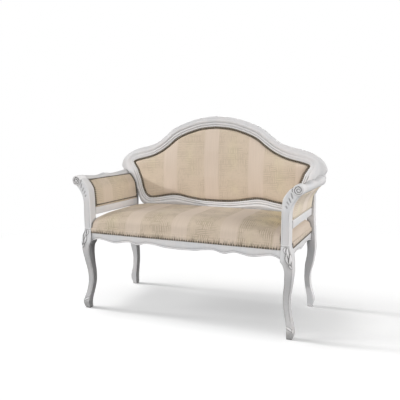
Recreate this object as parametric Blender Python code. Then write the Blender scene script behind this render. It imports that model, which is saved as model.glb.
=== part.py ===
"""A two-seater settee with a carved, painted frame: cabriole front legs that run up into scrolled arm posts,
rear legs that run up into stiles, a camel-back crest, and nailed upholstery on the back, arms and seat.
Metres. +X is the sitter's left, -Y is the front, +Z is up, and the origin is on the floor under the middle."""

import math

import bmesh
import bpy
import numpy as np

# Overall sizes
WIDTH = 1.214
DEPTH = 0.516
HEIGHT = 1.008
FIT_GAP = 0.0003
CUT_OVERRUN = 0.004

# Front legs and arm posts
POST_WIDTH = 0.041
POST_DEPTH = 0.050
POST_EDGE = 0.006
STEP_HEIGHT = 0.430
ANKLE_BACK = 0.016
VOLUTE_RADIUS = 0.025
VOLUTE_PROUD = 0.003
VOLUTE_RELIEF = 0.0022
SCROLL_WIDTH = 0.0525

# Rear legs and stiles
STILE_WIDTH = 0.040
STILE_DEPTH = 0.042
STILE_EDGE = 0.005
STILE_SPREAD = 0.0125
REAR_TOE_BACK = 0.015

# Seat frame
SEAT_RAIL_TOP = 0.424
SEAT_RAIL_HEIGHT = 0.055
SEAT_RAIL_WALL = 0.024
SEAT_RAIL_SETBACK = 0.004
REAR_RAIL_SETBACK = 0.002
APRON_HEIGHT = 0.013
TENON_LENGTH = 0.020
TENON_WALL = 0.010
TENON_HEIGHT = 0.020
TENON_DROP = 0.012
BLOCK_REACH = 0.060
BLOCK_HEIGHT = 0.028
BLOCK_DROP = 0.004
SCREW_LENGTH = 0.036
SCREW_SHANK = 0.0022
SCREW_HEAD = 0.0045
SCREW_HEAD_WALL = 0.003
SCREW_INSET = 0.018

# Back frame
BACK_WALL = 0.034
BACK_LEAN = 0.02
BAND_WIDTH = 0.056
BAND_RELIEF = 0.006
TRIM_WIDTH = 0.0076
TRIM_WALL = 0.0045
BACK_BOARD_WALL = 0.006
BACK_BOARD_DEPTH = 0.014
BACK_PAD_EDGE = 0.009
BACK_PAD_CROWN = 0.026
BACK_COVER_EDGE = 0.009
BACK_COVER_CROWN = 0.003

# Arms
ARM_HEIGHT = 0.257
ARM_GAP = 0.078
ARM_RAIL_HEIGHT = 0.039
ARM_RAIL_EDGE = 0.004
ARM_ROLL = 0.001
ARM_WAVE = 0.010
ARM_SPREAD = 0.008
ARM_BOARD_WALL = 0.008
ARM_PAD_CROWN = 0.004

# Seat upholstery
SEAT_CROWN = 0.088
SEAT_PAD_EDGE = 0.010
SEAT_TUCK = 0.004
SEAT_TRIM_WALL = 0.003
SEAT_TRIM_DROP = 0.0115
WEB_WIDTH = 0.050
WEB_WALL = 0.002
WEB_LAP = 0.018
WEBS_ACROSS = 3
WEBS_ALONG = 8
DUST_COVER_WALL = 0.0015
DUST_COVER_RISE = 0.018

# How square each cushion's crown is: an exponent and a rounding for each direction
SEAT_SIDE_SQUARENESS = (6, 0.35)
SEAT_FRONT_SQUARENESS = (6, 0.35)
SEAT_REAR_SQUARENESS = (4, 0.60)
BACK_SQUARENESS = (4, 0.55)

# Shares that more than one piece follows
KNEE_share = 0.625
REAR_BLOCK_share = -0.325

# Places that follow from the sizes
HALF_WIDTH = WIDTH / 2
HALF_DEPTH = DEPTH / 2
POST_X = HALF_WIDTH - ARM_SPREAD - VOLUTE_RADIUS - SCROLL_WIDTH
POST_FRONT = -HALF_DEPTH + KNEE_share * ANKLE_BACK
POST_BACK = POST_FRONT + POST_DEPTH
POST_INNER = POST_X - POST_WIDTH / 2
POST_OUTER = POST_X + POST_WIDTH / 2
BACK_HEIGHT = HEIGHT - SEAT_RAIL_TOP
BACK_FRONT = HALF_DEPTH - BACK_WALL - BACK_LEAN * BACK_HEIGHT
STILE_X = POST_X + STILE_SPREAD
STILE_INNER = STILE_X - STILE_WIDTH / 2
REAR_INNER = STILE_X + REAR_BLOCK_share * STILE_WIDTH
REAR_FRONT = BACK_FRONT - BAND_RELIEF
RAIL_FRONT = POST_FRONT + SEAT_RAIL_SETBACK
RAIL_BOTTOM = SEAT_RAIL_TOP - SEAT_RAIL_HEIGHT
SIDE_INNER = POST_OUTER - SEAT_RAIL_WALL
SIDE_TENON_X = POST_OUTER - TENON_WALL
REAR_RAIL_BACK = REAR_FRONT + STILE_DEPTH - REAR_RAIL_SETBACK
REAR_RAIL_FRONT = REAR_RAIL_BACK - SEAT_RAIL_WALL
FRONT_RAIL_BACK = RAIL_FRONT + SEAT_RAIL_WALL
TENON_TOP = SEAT_RAIL_TOP - TENON_DROP
VOLUTE_X = POST_X + SCROLL_WIDTH
VOLUTE_Z = SEAT_RAIL_TOP + ARM_HEIGHT
ARM_RAIL_BOTTOM = SEAT_RAIL_TOP + ARM_GAP
ARM_RAIL_TOP = ARM_RAIL_BOTTOM + ARM_RAIL_HEIGHT
ARM_FRONT = POST_BACK + FIT_GAP
ARM_BACK = REAR_FRONT - FIT_GAP
SEAT_PAD_BOTTOM = SEAT_RAIL_TOP + WEB_WALL + 2 * FIT_GAP

# A front leg from the sole up: height, inner side, outer side, front and back, as shares of STEP_HEIGHT,
# POST_WIDTH, POST_WIDTH, ANKLE_BACK and POST_DEPTH
front_leg_shares = (
    (0.000, 0.35, 0.96, 0.44, 0.70),
    (0.034, 0.34, 1.11, 0.12, 0.68),
    (0.088, 0.33, 1.16, -0.12, 0.70),
    (0.151, 0.24, 1.02, 0.31, 0.80),
    (0.233, 0.04, 0.76, 0.75, 0.92),
    (0.349, -0.19, 0.55, 1.00, 1.00),
    (0.465, -0.23, 0.58, 0.94, 1.00),
    (0.593, -0.09, 0.77, 0.50, 1.00),
    (0.721, -0.05, 0.90, -0.12, 1.00),
    (0.800, -0.20, 0.90, -0.45, 1.00),
    (0.852, -0.50, 0.87, -KNEE_share, 1.00),
    (0.930, -0.50, 0.76, -0.31, 1.00),
    (1.000, -0.50, 0.50, 0.00, 1.00),
)

# The scrolled arm post from the seat up: its inner and outer lines, across and up, as shares of SCROLL_WIDTH
# from POST_X and of ARM_HEIGHT above the seat rail
scroll_shares = (
    (-0.39, 0.290, 0.37, 0.295),
    (-0.41, 0.510, 0.34, 0.520),
    (-0.37, 0.690, 0.40, 0.654),
    (-0.32, 0.810, 0.54, 0.743),
    (-0.18, 0.880, 0.73, 0.810),
    (0.05, 0.950, 0.94, 0.868),
    (0.30, 1.008, 1.13, 0.905),
    (0.61, 1.045, 1.20, 0.925),
)

# The volute's face from its rim to its middle: radius and height, as shares of VOLUTE_RADIUS and
# VOLUTE_RELIEF
volute_shares = (
    (1.00, -1.0),
    (0.93, 0.6),
    (0.80, 1.0),
    (0.67, 0.6),
    (0.60, -0.6),
    (0.46, 0.8),
    (0.33, 0.6),
    (0.27, -0.5),
    (0.17, 1.0),
)

# A rear leg from the sole up: height, inner side, outer side, front and back, as shares of STEP_HEIGHT,
# STILE_WIDTH, STILE_WIDTH, REAR_TOE_BACK and STILE_DEPTH
rear_leg_shares = (
    (0.000, -0.06, 0.60, 0.91, 1.09),
    (0.042, -0.08, 0.73, 0.85, 1.09),
    (0.084, -0.09, 0.85, 0.70, 1.08),
    (0.130, -0.13, 0.82, 0.55, 1.04),
    (0.186, -0.23, 0.64, 0.38, 0.98),
    (0.256, -0.35, 0.41, 0.20, 0.92),
    (0.349, -0.49, 0.29, 0.15, 0.87),
    (0.453, -0.52, 0.31, 0.10, 0.87),
    (0.560, -0.46, 0.58, 0.05, 0.92),
    (0.667, -0.26, 0.75, 0.00, 0.97),
    (0.756, -0.25, 0.82, 0.00, 0.99),
    (0.844, REAR_BLOCK_share, 0.78, 0.00, 1.00),
    (1.012, REAR_BLOCK_share, 0.65, 0.00, 1.00),
)

# The stile over it, with each height as a share of BACK_HEIGHT above the seat rail
stile_post_shares = (
    (0.104, -0.45, 0.55, 0.00, 1.00),
    (0.221, -0.50, 0.50, 0.00, 1.00),
    (0.277, -0.50, 0.50, 0.00, 1.00),
    (0.344, -0.45, 0.45, 0.93, 0.97),
)

# The crest from its middle to the ear: its seam and its outer edge, across and up, as shares of HALF_WIDTH
# and of BACK_HEIGHT above the seat rail
crest_shares = (
    (0.000, 0.899, 0.000, 1.000),
    (0.140, 0.885, 0.152, 0.983),
    (0.273, 0.846, 0.294, 0.943),
    (0.384, 0.796, 0.420, 0.889),
    (0.468, 0.730, 0.509, 0.820),
    (0.554, 0.671, 0.588, 0.760),
    (0.661, 0.623, 0.686, 0.723),
    (0.764, 0.596, 0.790, 0.699),
    (0.831, 0.577, 0.884, 0.663),
    (0.856, 0.560, 0.967, 0.601),
    (0.835, 0.521, 1.000, 0.529),
    (0.813, 0.487, 0.984, 0.487),
)

# The upper stile from the crest down to the lower back rail, in the same shares
stile_shares = (
    (0.813, 0.487, 0.984, 0.487),
    (0.802, 0.452, 0.990, 0.452),
    (0.787, 0.413, 0.970, 0.413),
    (0.773, 0.370, 0.936, 0.370),
    (0.764, 0.327, 0.914, 0.327),
    (0.753, 0.289, 0.903, 0.289),
)

# The lower back rail from its middle out to the stile, in the same shares
lower_rail_shares = (
    (0.000, 0.209, 0.000, 0.127),
    (0.132, 0.212, 0.132, 0.128),
    (0.248, 0.226, 0.248, 0.137),
    (0.387, 0.250, 0.397, 0.152),
    (0.483, 0.244, 0.496, 0.142),
    (0.579, 0.225, 0.582, 0.132),
    (0.668, 0.214, 0.664, 0.124),
    (0.707, 0.223, 0.744, 0.130),
    (0.736, 0.253, 0.798, 0.176),
    (0.753, 0.289, 0.842, 0.289),
)

# The moulded face across a back rail: distance out from the seam and height over the face, as shares of
# BAND_WIDTH and BAND_RELIEF
moulding_shares = (
    (0.130, 0.15),
    (0.270, 0.65),
    (0.370, 0.00),
    (0.560, 1.00),
    (0.750, 0.15),
    (0.840, 0.00),
)

# Lower edge of the front apron from the middle, as shares of POST_INNER and APRON_HEIGHT
front_apron_shares = (
    (0.00, 0.00),
    (0.16, 0.23),
    (0.24, 0.69),
    (0.31, 1.00),
    (0.37, 1.00),
    (0.43, 0.31),
    (0.47, 0.15),
    (0.51, 0.54),
    (0.56, 0.92),
    (0.62, 0.69),
    (0.68, 0.20),
    (0.72, 0.08),
    (0.77, 0.20),
    (0.86, 0.85),
    (0.92, 1.08),
    (0.965, 0.60),
    (1.00, 0.00),
)

# Lower edge of a side apron from front to rear, as shares of its length and of APRON_HEIGHT
side_apron_shares = (
    (0.00, 0.10),
    (0.09, 0.70),
    (0.20, 1.10),
    (0.32, 0.85),
    (0.42, 0.25),
    (0.50, 0.10),
    (0.58, 0.25),
    (0.68, 0.85),
    (0.80, 1.10),
    (0.91, 0.70),
    (1.00, 0.10),
)

# The wavy top of an arm from front to rear: shares of the arm's length and of ARM_WAVE
arm_wave_shares = (
    (0.00, 0.10),
    (0.14, 0.60),
    (0.29, 1.00),
    (0.40, 0.50),
    (0.44, 0.10),
    (0.50, 0.35),
    (0.63, 0.90),
    (0.78, 0.70),
    (0.93, 0.10),
    (1.00, 0.00),
)

# Where a cushion's rings lie from its rim to its middle, and where a pad's grid lines lie on each side
ring_shares = (1.0, 0.975, 0.92, 0.82, 0.66, 0.40)
cover_shares = (1.0, 0.80)
seat_across_shares = (0.0, 0.22, 0.43, 0.62, 0.77)
seat_along_shares = (-0.92, -0.72, -0.45, -0.15, 0.15, 0.42, 0.66)
arm_pad_shares = (0.0, 0.04, 0.15, 0.5, 0.85, 0.96, 1.0)

for old in list(bpy.data.objects):
    bpy.data.objects.remove(old)


def material(name, colour, roughness, metallic=0.0):
    made = bpy.data.materials.new(name)
    made.use_nodes = True
    shader = made.node_tree.nodes["Principled BSDF"]
    shader.inputs["Base Color"].default_value = (*colour, 1.0)
    shader.inputs["Roughness"].default_value = roughness
    shader.inputs["Metallic"].default_value = metallic
    made.diffuse_color = (*colour, 1.0)
    return made


PAINT = material("painted_beech", (0.66, 0.65, 0.63), 0.45)
BARE_WOOD = material("bare_beech", (0.52, 0.36, 0.21), 0.60)
FABRIC = material("striped_fabric", (0.62, 0.52, 0.40), 0.70)
GIMP = material("nailed_gimp", (0.16, 0.14, 0.10), 0.50, 0.4)
STEEL = material("zinc_steel", (0.60, 0.60, 0.60), 0.35, 1.0)
JUTE = material("jute_webbing", (0.42, 0.31, 0.18), 0.85)
CAMBRIC = material("black_cambric", (0.03, 0.03, 0.03), 0.90)


def smooth_line(knots, steps):
    """Points on a smooth curve through the knots, with so many steps to each span."""
    knots = np.array(knots, float)
    padded = np.vstack((2 * knots[0] - knots[1], knots, 2 * knots[-1] - knots[-2]))
    line = []
    for before, start, end, after in zip(padded, padded[1:], padded[2:], padded[3:]):
        for t in np.arange(steps) / steps:
            straight = 2 * start + (end - before) * t
            bend = (2 * before - 5 * start + 4 * end - after) * t**2
            twist = (3 * start - before - 3 * end + after) * t**3
            line.append((straight + bend + twist) / 2)
    line.append(knots[-1])
    return line


def finish_mesh(name, mesh, finish):
    bmesh.ops.recalc_face_normals(mesh, faces=mesh.faces)
    mesh_data = bpy.data.meshes.new(name)
    mesh.to_mesh(mesh_data)
    mesh.free()
    for polygon in mesh_data.polygons:
        polygon.use_smooth = True
    mesh_data.set_sharp_from_angle(angle=math.radians(40))
    mesh_data.materials.append(finish)
    made = bpy.data.objects.new(name, mesh_data)
    bpy.context.scene.collection.objects.link(made)
    return made


def lofted(name, rings, finish, looped=False, tip=None):
    """A closed body through rings of points: with flat ends, a tip at its far end, or joined to itself."""
    mesh = bmesh.new()
    rows = [[mesh.verts.new(point) for point in ring] for ring in rings]
    if not looped:
        mesh.faces.new(rows[0])
        if tip is None:
            mesh.faces.new(rows[-1])
        else:
            peak = mesh.verts.new(tip)
            for i, corner in enumerate(rows[-1]):
                mesh.faces.new((corner, rows[-1][(i + 1) % len(rows[-1])], peak))
    following = rows[1:] + rows[:1] if looped else rows[1:]
    for row, beyond in zip(rows, following):
        for i, corner in enumerate(row):
            j = (i + 1) % len(row)
            mesh.faces.new((corner, row[j], beyond[j], beyond[i]))
    return finish_mesh(name, mesh, finish)


def layered(name, across, along, face, back, finish, keeps=None):
    """A padded or flat layer over a grid of places, from its back up to its face."""
    mesh = bmesh.new()
    faces_at = {}
    backs_at = {}

    def corner(store, surface, i, j):
        if (i, j) not in store:
            store[i, j] = mesh.verts.new(surface(across[i], along[j]))
        return store[i, j]

    cells = set()
    for i in range(len(across) - 1):
        for j in range(len(along) - 1):
            middle = ((across[i] + across[i + 1]) / 2, (along[j] + along[j + 1]) / 2)
            if keeps is None or keeps(*middle):
                cells.add((i, j))
    for i, j in sorted(cells):
        loop = ((i, j), (i + 1, j), (i + 1, j + 1), (i, j + 1))
        mesh.faces.new([corner(faces_at, face, *at) for at in loop])
        mesh.faces.new([corner(backs_at, back, *at) for at in reversed(loop)])
        beyond = ((i, j - 1), (i + 1, j), (i, j + 1), (i - 1, j))
        for start, end, neighbour in zip(loop, loop[1:] + loop[:1], beyond):
            if neighbour not in cells:
                mesh.faces.new(
                    (
                        corner(faces_at, face, *start),
                        corner(backs_at, back, *start),
                        corner(backs_at, back, *end),
                        corner(faces_at, face, *end),
                    )
                )
    return finish_mesh(name, mesh, finish)


def prism(name, outline, low, high, finish, axis=2):
    """A flat outline drawn out between two levels along one axis."""
    rings = []
    for level in (low, high):
        rings.append([np.insert(point, axis, level) for point in outline])
    return lofted(name, rings, finish)


def cuboid(name, one, other, finish):
    low = np.minimum(one, other)
    high = np.maximum(one, other)
    corners = ((low[0], low[1]), (high[0], low[1]), (high[0], high[1]), (low[0], high[1]))
    return prism(name, corners, low[2], high[2], finish)


def rod(name, start, direction, length, radius, finish, sides=10):
    """A round rod from its start along a direction."""
    along = np.array(direction, float)
    up = np.array((0, 0, 1)) if abs(along[2]) < 1 else np.array((1, 0, 0))
    side = np.cross(along, up)
    rings = []
    for reach in (0, length):
        ring = []
        for turn in range(sides):
            angle = 2 * math.pi * turn / sides
            spoke = side * math.cos(angle) + up * math.sin(angle)
            ring.append(np.array(start) + along * reach + spoke * radius)
        rings.append(ring)
    return lofted(name, rings, finish)


def boolean(body, tool, operation):
    tool.hide_render = True
    tool.display_type = "WIRE"
    step = body.modifiers.new(tool.name, "BOOLEAN")
    step.operation = operation
    step.object = tool


def mortise_and_tenon(name, rail, post, one, other):
    """A tenon on the rail between two corners, and its mortise in the post."""
    low = np.minimum(one, other)
    high = np.maximum(one, other)
    boolean(rail, cuboid(name + "_tenon", low, high, PAINT), "UNION")
    boolean(post, cuboid(name + "_mortise", low - FIT_GAP, high + FIT_GAP, PAINT), "DIFFERENCE")


def block_ring(inner, outer, front, back, edge, side):
    """A rounded block's outline between two (x, z) points, from its front to its back."""
    inner = np.array(inner, float)
    outer = np.array(outer, float)
    width = np.linalg.norm(outer - inner)
    along = (outer - inner) / width
    ring = []
    for near_x, near_y, start in ((0, 0, 180), (1, 0, 270), (1, 1, 0), (0, 1, 90)):
        centre_x = edge + near_x * (width - 2 * edge)
        centre_y = front + edge + near_y * (back - front - 2 * edge)
        for turn in (0, 45, 90):
            angle = math.radians(start + turn)
            place = inner + along * (centre_x + edge * math.cos(angle))
            ring.append((side * place[0], centre_y + edge * math.sin(angle), place[1]))
    return ring


def back_face(z):
    """How far back the face of the back frame lies at a height."""
    return BACK_FRONT + BACK_LEAN * (z - SEAT_RAIL_TOP)


def back_rows(shares, side=1):
    """Rows of seam x, seam z, edge x and edge z, in metres."""
    scale = np.array((side * HALF_WIDTH, BACK_HEIGHT, side * HALF_WIDTH, BACK_HEIGHT))
    lift = np.array((0, SEAT_RAIL_TOP, 0, SEAT_RAIL_TOP))
    return [np.array(row) * scale + lift for row in shares]


def whole_rows(shares, steps):
    """The smooth rows of a rail that is alike on both sides of the middle."""
    half = smooth_line(back_rows(shares), steps)
    flip = np.array((-1, 1, -1, 1))
    return [row * flip for row in half[:0:-1]] + half


def moulded_ring(row):
    """The section of a back rail from its seam to its outer edge."""
    seam, edge = row[:2], row[2:]
    width = np.linalg.norm(edge - seam)
    out = (edge - seam) / width
    reach = min(1.0, width / BAND_WIDTH)
    tongue = TRIM_WIDTH / 2
    rebate = TRIM_WIDTH / 2 + FIT_GAP
    points = [(-tongue, BAND_RELIEF), (rebate, BAND_RELIEF), (rebate, 0)]
    for share, relief in moulding_shares:
        points.append((share * BAND_WIDTH * reach, -relief * BAND_RELIEF))
    points += [
        (width - BAND_RELIEF, 0),
        (width, BAND_RELIEF),
        (width, BACK_WALL - BAND_RELIEF),
        (width - BAND_RELIEF, BACK_WALL),
        (rebate, BACK_WALL),
        (rebate, BACK_WALL - BAND_RELIEF),
        (-tongue, BACK_WALL - BAND_RELIEF),
    ]
    ring = []
    for distance, depth in points:
        place = seam + out * distance
        ring.append((place[0], back_face(place[1]) + depth, place[1]))
    return ring


def seam_loop():
    """Rows all round the back panel, from the left ear over the crest and back along the lower rail."""
    crest = whole_rows(crest_shares, 2)
    down = smooth_line(back_rows(stile_shares), 1)
    low = whole_rows(lower_rail_shares, 2)
    flip = np.array((-1, 1, -1, 1))
    up = [row * flip for row in down[::-1]]
    return crest + down[1:] + low[::-1][1:] + up[1:-1]


def front_leg(side, name):
    rows = []
    for height, inner, outer, front, back in front_leg_shares:
        z = height * STEP_HEIGHT
        rows.append(
            (
                POST_X + inner * POST_WIDTH,
                z,
                POST_X + outer * POST_WIDTH,
                z,
                POST_FRONT + front * ANKLE_BACK,
                POST_FRONT + back * POST_DEPTH,
            )
        )
    for inner_x, inner_z, outer_x, outer_z in scroll_shares:
        rows.append(
            (
                POST_X + inner_x * SCROLL_WIDTH,
                SEAT_RAIL_TOP + inner_z * ARM_HEIGHT,
                POST_X + outer_x * SCROLL_WIDTH,
                SEAT_RAIL_TOP + outer_z * ARM_HEIGHT,
                POST_FRONT,
                POST_BACK,
            )
        )
    rings = []
    for inner_x, inner_z, outer_x, outer_z, front, back in smooth_line(rows, 2):
        inner_x = max(inner_x, POST_INNER)
        back = min(back, POST_BACK)
        rings.append(
            block_ring((inner_x, inner_z), (outer_x, outer_z), front, back, POST_EDGE, side)
        )
    leg = lofted(name, rings, PAINT)
    face = POST_FRONT - VOLUTE_PROUD
    rounds = [(VOLUTE_RADIUS, POST_BACK)]
    for radius, height in volute_shares:
        rounds.append((radius * VOLUTE_RADIUS, face - height * VOLUTE_RELIEF))
    rings = []
    for radius, y in rounds:
        ring = []
        for turn in range(24):
            angle = math.radians(15 * turn)
            x = VOLUTE_X + radius * math.cos(angle)
            ring.append((side * x, y, VOLUTE_Z + radius * math.sin(angle)))
        rings.append(ring)
    boolean(leg, lofted(name + "_volute", rings, PAINT), "UNION")
    return leg


def rear_leg(side, name):
    rows = [(row[0] * STEP_HEIGHT, *row[1:]) for row in rear_leg_shares]
    rows += [(SEAT_RAIL_TOP + row[0] * BACK_HEIGHT, *row[1:]) for row in stile_post_shares]
    rings = []
    for z, inner, outer, front, back in rows:
        rings.append(
            block_ring(
                (STILE_X + inner * STILE_WIDTH, z),
                (STILE_X + outer * STILE_WIDTH, z),
                REAR_FRONT + front * REAR_TOE_BACK,
                REAR_FRONT + back * STILE_DEPTH,
                STILE_EDGE,
                side,
            )
        )
    leg = lofted(name, rings, PAINT)
    rows = back_rows(stile_shares, side)
    gap = np.array((0, FIT_GAP, 0, FIT_GAP))
    rows[0] = rows[0] - gap
    rows[-1] = rows[-1] + gap
    boolean(leg, lofted(name + "_border", [moulded_ring(row) for row in rows], PAINT), "UNION")
    return leg


def apron_outline(bottom, low, high):
    """A rail's outline with a shaped lower edge, as (place, z) points."""
    outline = [(low, SEAT_RAIL_TOP), (high, SEAT_RAIL_TOP)]
    return outline + [tuple(point) for point in bottom[::-1]]


def seat_rail_front():
    half = []
    for share, rise in front_apron_shares:
        half.append((share * (POST_INNER - FIT_GAP), RAIL_BOTTOM + rise * APRON_HEIGHT))
    half = smooth_line(half, 2)
    bottom = [(-x, z) for x, z in half[:0:-1]] + [tuple(point) for point in half]
    reach = POST_INNER - FIT_GAP
    outline = apron_outline(bottom, -reach, reach)
    return prism("seat_rail_front", outline, RAIL_FRONT, FRONT_RAIL_BACK, PAINT, axis=1)


def seat_rail_rear():
    reach = REAR_INNER - FIT_GAP
    return cuboid(
        "seat_rail_rear",
        (-reach, REAR_RAIL_FRONT, RAIL_BOTTOM + APRON_HEIGHT),
        (reach, REAR_RAIL_BACK, SEAT_RAIL_TOP),
        BARE_WOOD,
    )


def seat_rail_side(side, name):
    low = POST_BACK + FIT_GAP
    high = REAR_FRONT - FIT_GAP
    bottom = []
    for share, rise in side_apron_shares:
        bottom.append((low + share * (high - low), RAIL_BOTTOM + rise * APRON_HEIGHT))
    bottom = [tuple(point) for point in smooth_line(bottom, 2)]
    outline = apron_outline(bottom, low, high)
    return prism(name, outline, side * SIDE_INNER, side * POST_OUTER, PAINT, axis=0)


def rail_joint(name, rail, post, mouth, reach):
    """A seat rail's tenon from its mouth in the post, along the way of reach."""
    along = np.array(reach, float)
    across = np.array((abs(along[1]), abs(along[0]), 0)) * TENON_WALL / 2
    start = np.array((*mouth, TENON_TOP)) - along * CUT_OVERRUN - across
    end = np.array((*mouth, TENON_TOP - TENON_HEIGHT)) + along * TENON_LENGTH + across
    mortise_and_tenon(name, rail, post, start, end)


def corner_block(name, inner_x, inner_y, corner, side, way):
    """A block in a corner of the seat frame, cut round the leg, with its diagonal towards the middle."""
    far_x = inner_x - FIT_GAP
    far_y = inner_y - way * FIT_GAP
    outline = [
        (far_x - BLOCK_REACH, far_y),
        (far_x, far_y - way * BLOCK_REACH),
    ]
    if corner is None:
        outline.append((far_x, far_y))
    else:
        notch_x = corner[0] - FIT_GAP
        notch_y = corner[1] - way * FIT_GAP
        outline += [(far_x, notch_y), (notch_x, notch_y), (notch_x, far_y)]
    outline = [(side * x, y) for x, y in outline]
    top = SEAT_RAIL_TOP - BLOCK_DROP
    return prism(name, outline, top - BLOCK_HEIGHT, top, BARE_WOOD)


def screw_and_holes(name, block, rail, mouth, direction):
    """A screw through a corner block into a rail, with its hole in each."""
    z = SEAT_RAIL_TOP - BLOCK_DROP - BLOCK_HEIGHT / 2
    start = np.array((*mouth, z))
    along = np.array(direction, float)
    shank = rod(name, start, direction, SCREW_LENGTH, SCREW_SHANK, STEEL)
    head = rod(name + "_head", start, direction, SCREW_HEAD_WALL, SCREW_HEAD, STEEL)
    boolean(shank, head, "UNION")
    hole = rod(
        name + "_hole",
        start - along * SCREW_LENGTH,
        direction,
        2 * SCREW_LENGTH + FIT_GAP,
        SCREW_SHANK + FIT_GAP,
        STEEL,
    )
    sink = rod(
        name + "_sink",
        start - along * SCREW_LENGTH,
        direction,
        SCREW_LENGTH + SCREW_HEAD_WALL + FIT_GAP,
        SCREW_HEAD + FIT_GAP,
        STEEL,
    )
    boolean(block, hole, "DIFFERENCE")
    boolean(block, sink, "DIFFERENCE")
    boolean(rail, hole, "DIFFERENCE")


def corner_screws(name, block, end_rail, side_rail, inner_x, inner_y, side, way):
    """Two screws for a block: one into the front or rear rail, one into the side rail."""
    bite = SEAT_RAIL_WALL / 2
    out_y = inner_y + way * bite
    out_x = inner_x + bite
    mouth = (side * (inner_x - BLOCK_REACH + SCREW_INSET), out_y - way * SCREW_LENGTH)
    screw_and_holes(name + "_a", block, end_rail, mouth, (0, way, 0))
    mouth = (side * (out_x - SCREW_LENGTH), inner_y - way * (BLOCK_REACH - SCREW_INSET))
    screw_and_holes(name + "_b", block, side_rail, mouth, (side, 0, 0))


def crest_rail():
    rings = [moulded_ring(row) for row in whole_rows(crest_shares, 2)]
    return lofted("crest_rail", rings, PAINT)


def back_lower_rail():
    rings = [moulded_ring(row) for row in whole_rows(lower_rail_shares, 2)]
    return lofted("back_lower_rail", rings, PAINT)


def upright_joint(name, rail, post, row, x, way):
    """A tenon that stands up or down between a back rail and a stile at the seam's end."""
    z = row[1]
    y = back_face(z) + BACK_WALL / 2
    start = (x - TENON_HEIGHT / 2, y - TENON_WALL / 2, z - way * CUT_OVERRUN)
    end = (x + TENON_HEIGHT / 2, y + TENON_WALL / 2, z + way * TENON_LENGTH)
    mortise_and_tenon(name, rail, post, start, end)


def nail_loop(name, depth, wall):
    """A nailed gimp all round the back panel, between two depths from the face of the frame."""
    rings = []
    for row in seam_loop():
        seam, edge = row[:2], row[2:]
        out = (edge - seam) / np.linalg.norm(edge - seam)
        ring = []
        for distance, level in ((-1, 0), (1, 0), (1, 1), (-1, 1)):
            place = seam + out * distance * TRIM_WIDTH / 2
            ring.append((place[0], back_face(place[1]) + depth + level * wall, place[1]))
        rings.append(ring)
    return lofted(name, rings, GIMP, looped=True)


def back_panel(name, depth, edge, crown, shares, finish):
    """A layer of the back inside the frame, from its flat side, bulging the way of crown."""
    middle = np.array((0, SEAT_RAIL_TOP + BACK_HEIGHT / 2))
    outline = []
    for row in seam_loop():
        seam, border = row[:2], row[2:]
        out = (border - seam) / np.linalg.norm(border - seam)
        outline.append(seam - out * (TRIM_WIDTH / 2 + FIT_GAP))
    power, rounding = BACK_SQUARENESS

    def ring(share, rise):
        places = [middle + (point - middle) * share for point in outline]
        return [(x, back_face(z) + depth + rise, z) for x, z in places]

    rings = [ring(1.0, 0)]
    for share in shares:
        rings.append(ring(share, edge + crown * (1 - share**power) ** rounding))
    if not crown:
        return lofted(name, rings[:2], finish)
    peak = back_face(middle[1]) + depth + edge + crown
    return lofted(name, rings, finish, tip=(0, peak, middle[1]))


def arm_rail_rings(side, radius):
    """Rings of an arm's rolled top rail from the post to the stile."""
    rings = []
    for share, drop in arm_wave_shares:
        ring = []
        for turn in range(16):
            angle = 2 * math.pi * turn / 16
            x = VOLUTE_X + ARM_SPREAD * share + radius * math.cos(angle)
            z = VOLUTE_Z + radius * math.sin(angle)
            end = back_face(z) - FIT_GAP
            sunk = z - drop * ARM_WAVE * max(0, math.sin(angle))
            ring.append((side * x, ARM_FRONT + share * (end - ARM_FRONT), sunk))
        rings.append(ring)
    return rings


def arm_top_rail(side, name):
    return lofted(name, arm_rail_rings(side, VOLUTE_RADIUS - ARM_ROLL), PAINT)


def arm_lower_rail(side, name):
    low, high, edge = ARM_RAIL_BOTTOM, ARM_RAIL_TOP, ARM_RAIL_EDGE
    outline = [
        (POST_INNER + edge, low),
        (POST_OUTER - edge, low),
        (POST_OUTER, low + edge),
        (POST_OUTER, high - edge),
        (POST_OUTER - edge, high),
        (POST_INNER + edge, high),
        (POST_INNER, high - edge),
        (POST_INNER, low + edge),
    ]
    outline = [(side * x, z) for x, z in outline]
    return prism(name, outline, ARM_FRONT, ARM_BACK, PAINT, axis=1)


def arm_lines():
    """The inner and outer lines of an arm's side, from the lower rail's top into the rolled rail."""
    rows = []
    for inner_x, inner_z, outer_x, outer_z in scroll_shares[1:-1]:
        rows.append(
            (
                POST_X + inner_x * SCROLL_WIDTH,
                SEAT_RAIL_TOP + inner_z * ARM_HEIGHT,
                POST_X + outer_x * SCROLL_WIDTH,
                SEAT_RAIL_TOP + outer_z * ARM_HEIGHT,
            )
        )
    foot = ARM_RAIL_TOP + FIT_GAP
    rows[0] = (rows[0][0], foot, rows[0][2], foot)
    return [np.array(row) for row in rows]


def spread(x, z, share):
    """How an arm's side leans out as it runs back, most at the top."""
    rise = (z - ARM_RAIL_TOP) / (VOLUTE_Z - ARM_RAIL_TOP)
    return x + ARM_SPREAD * share * max(0, rise)


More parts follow.
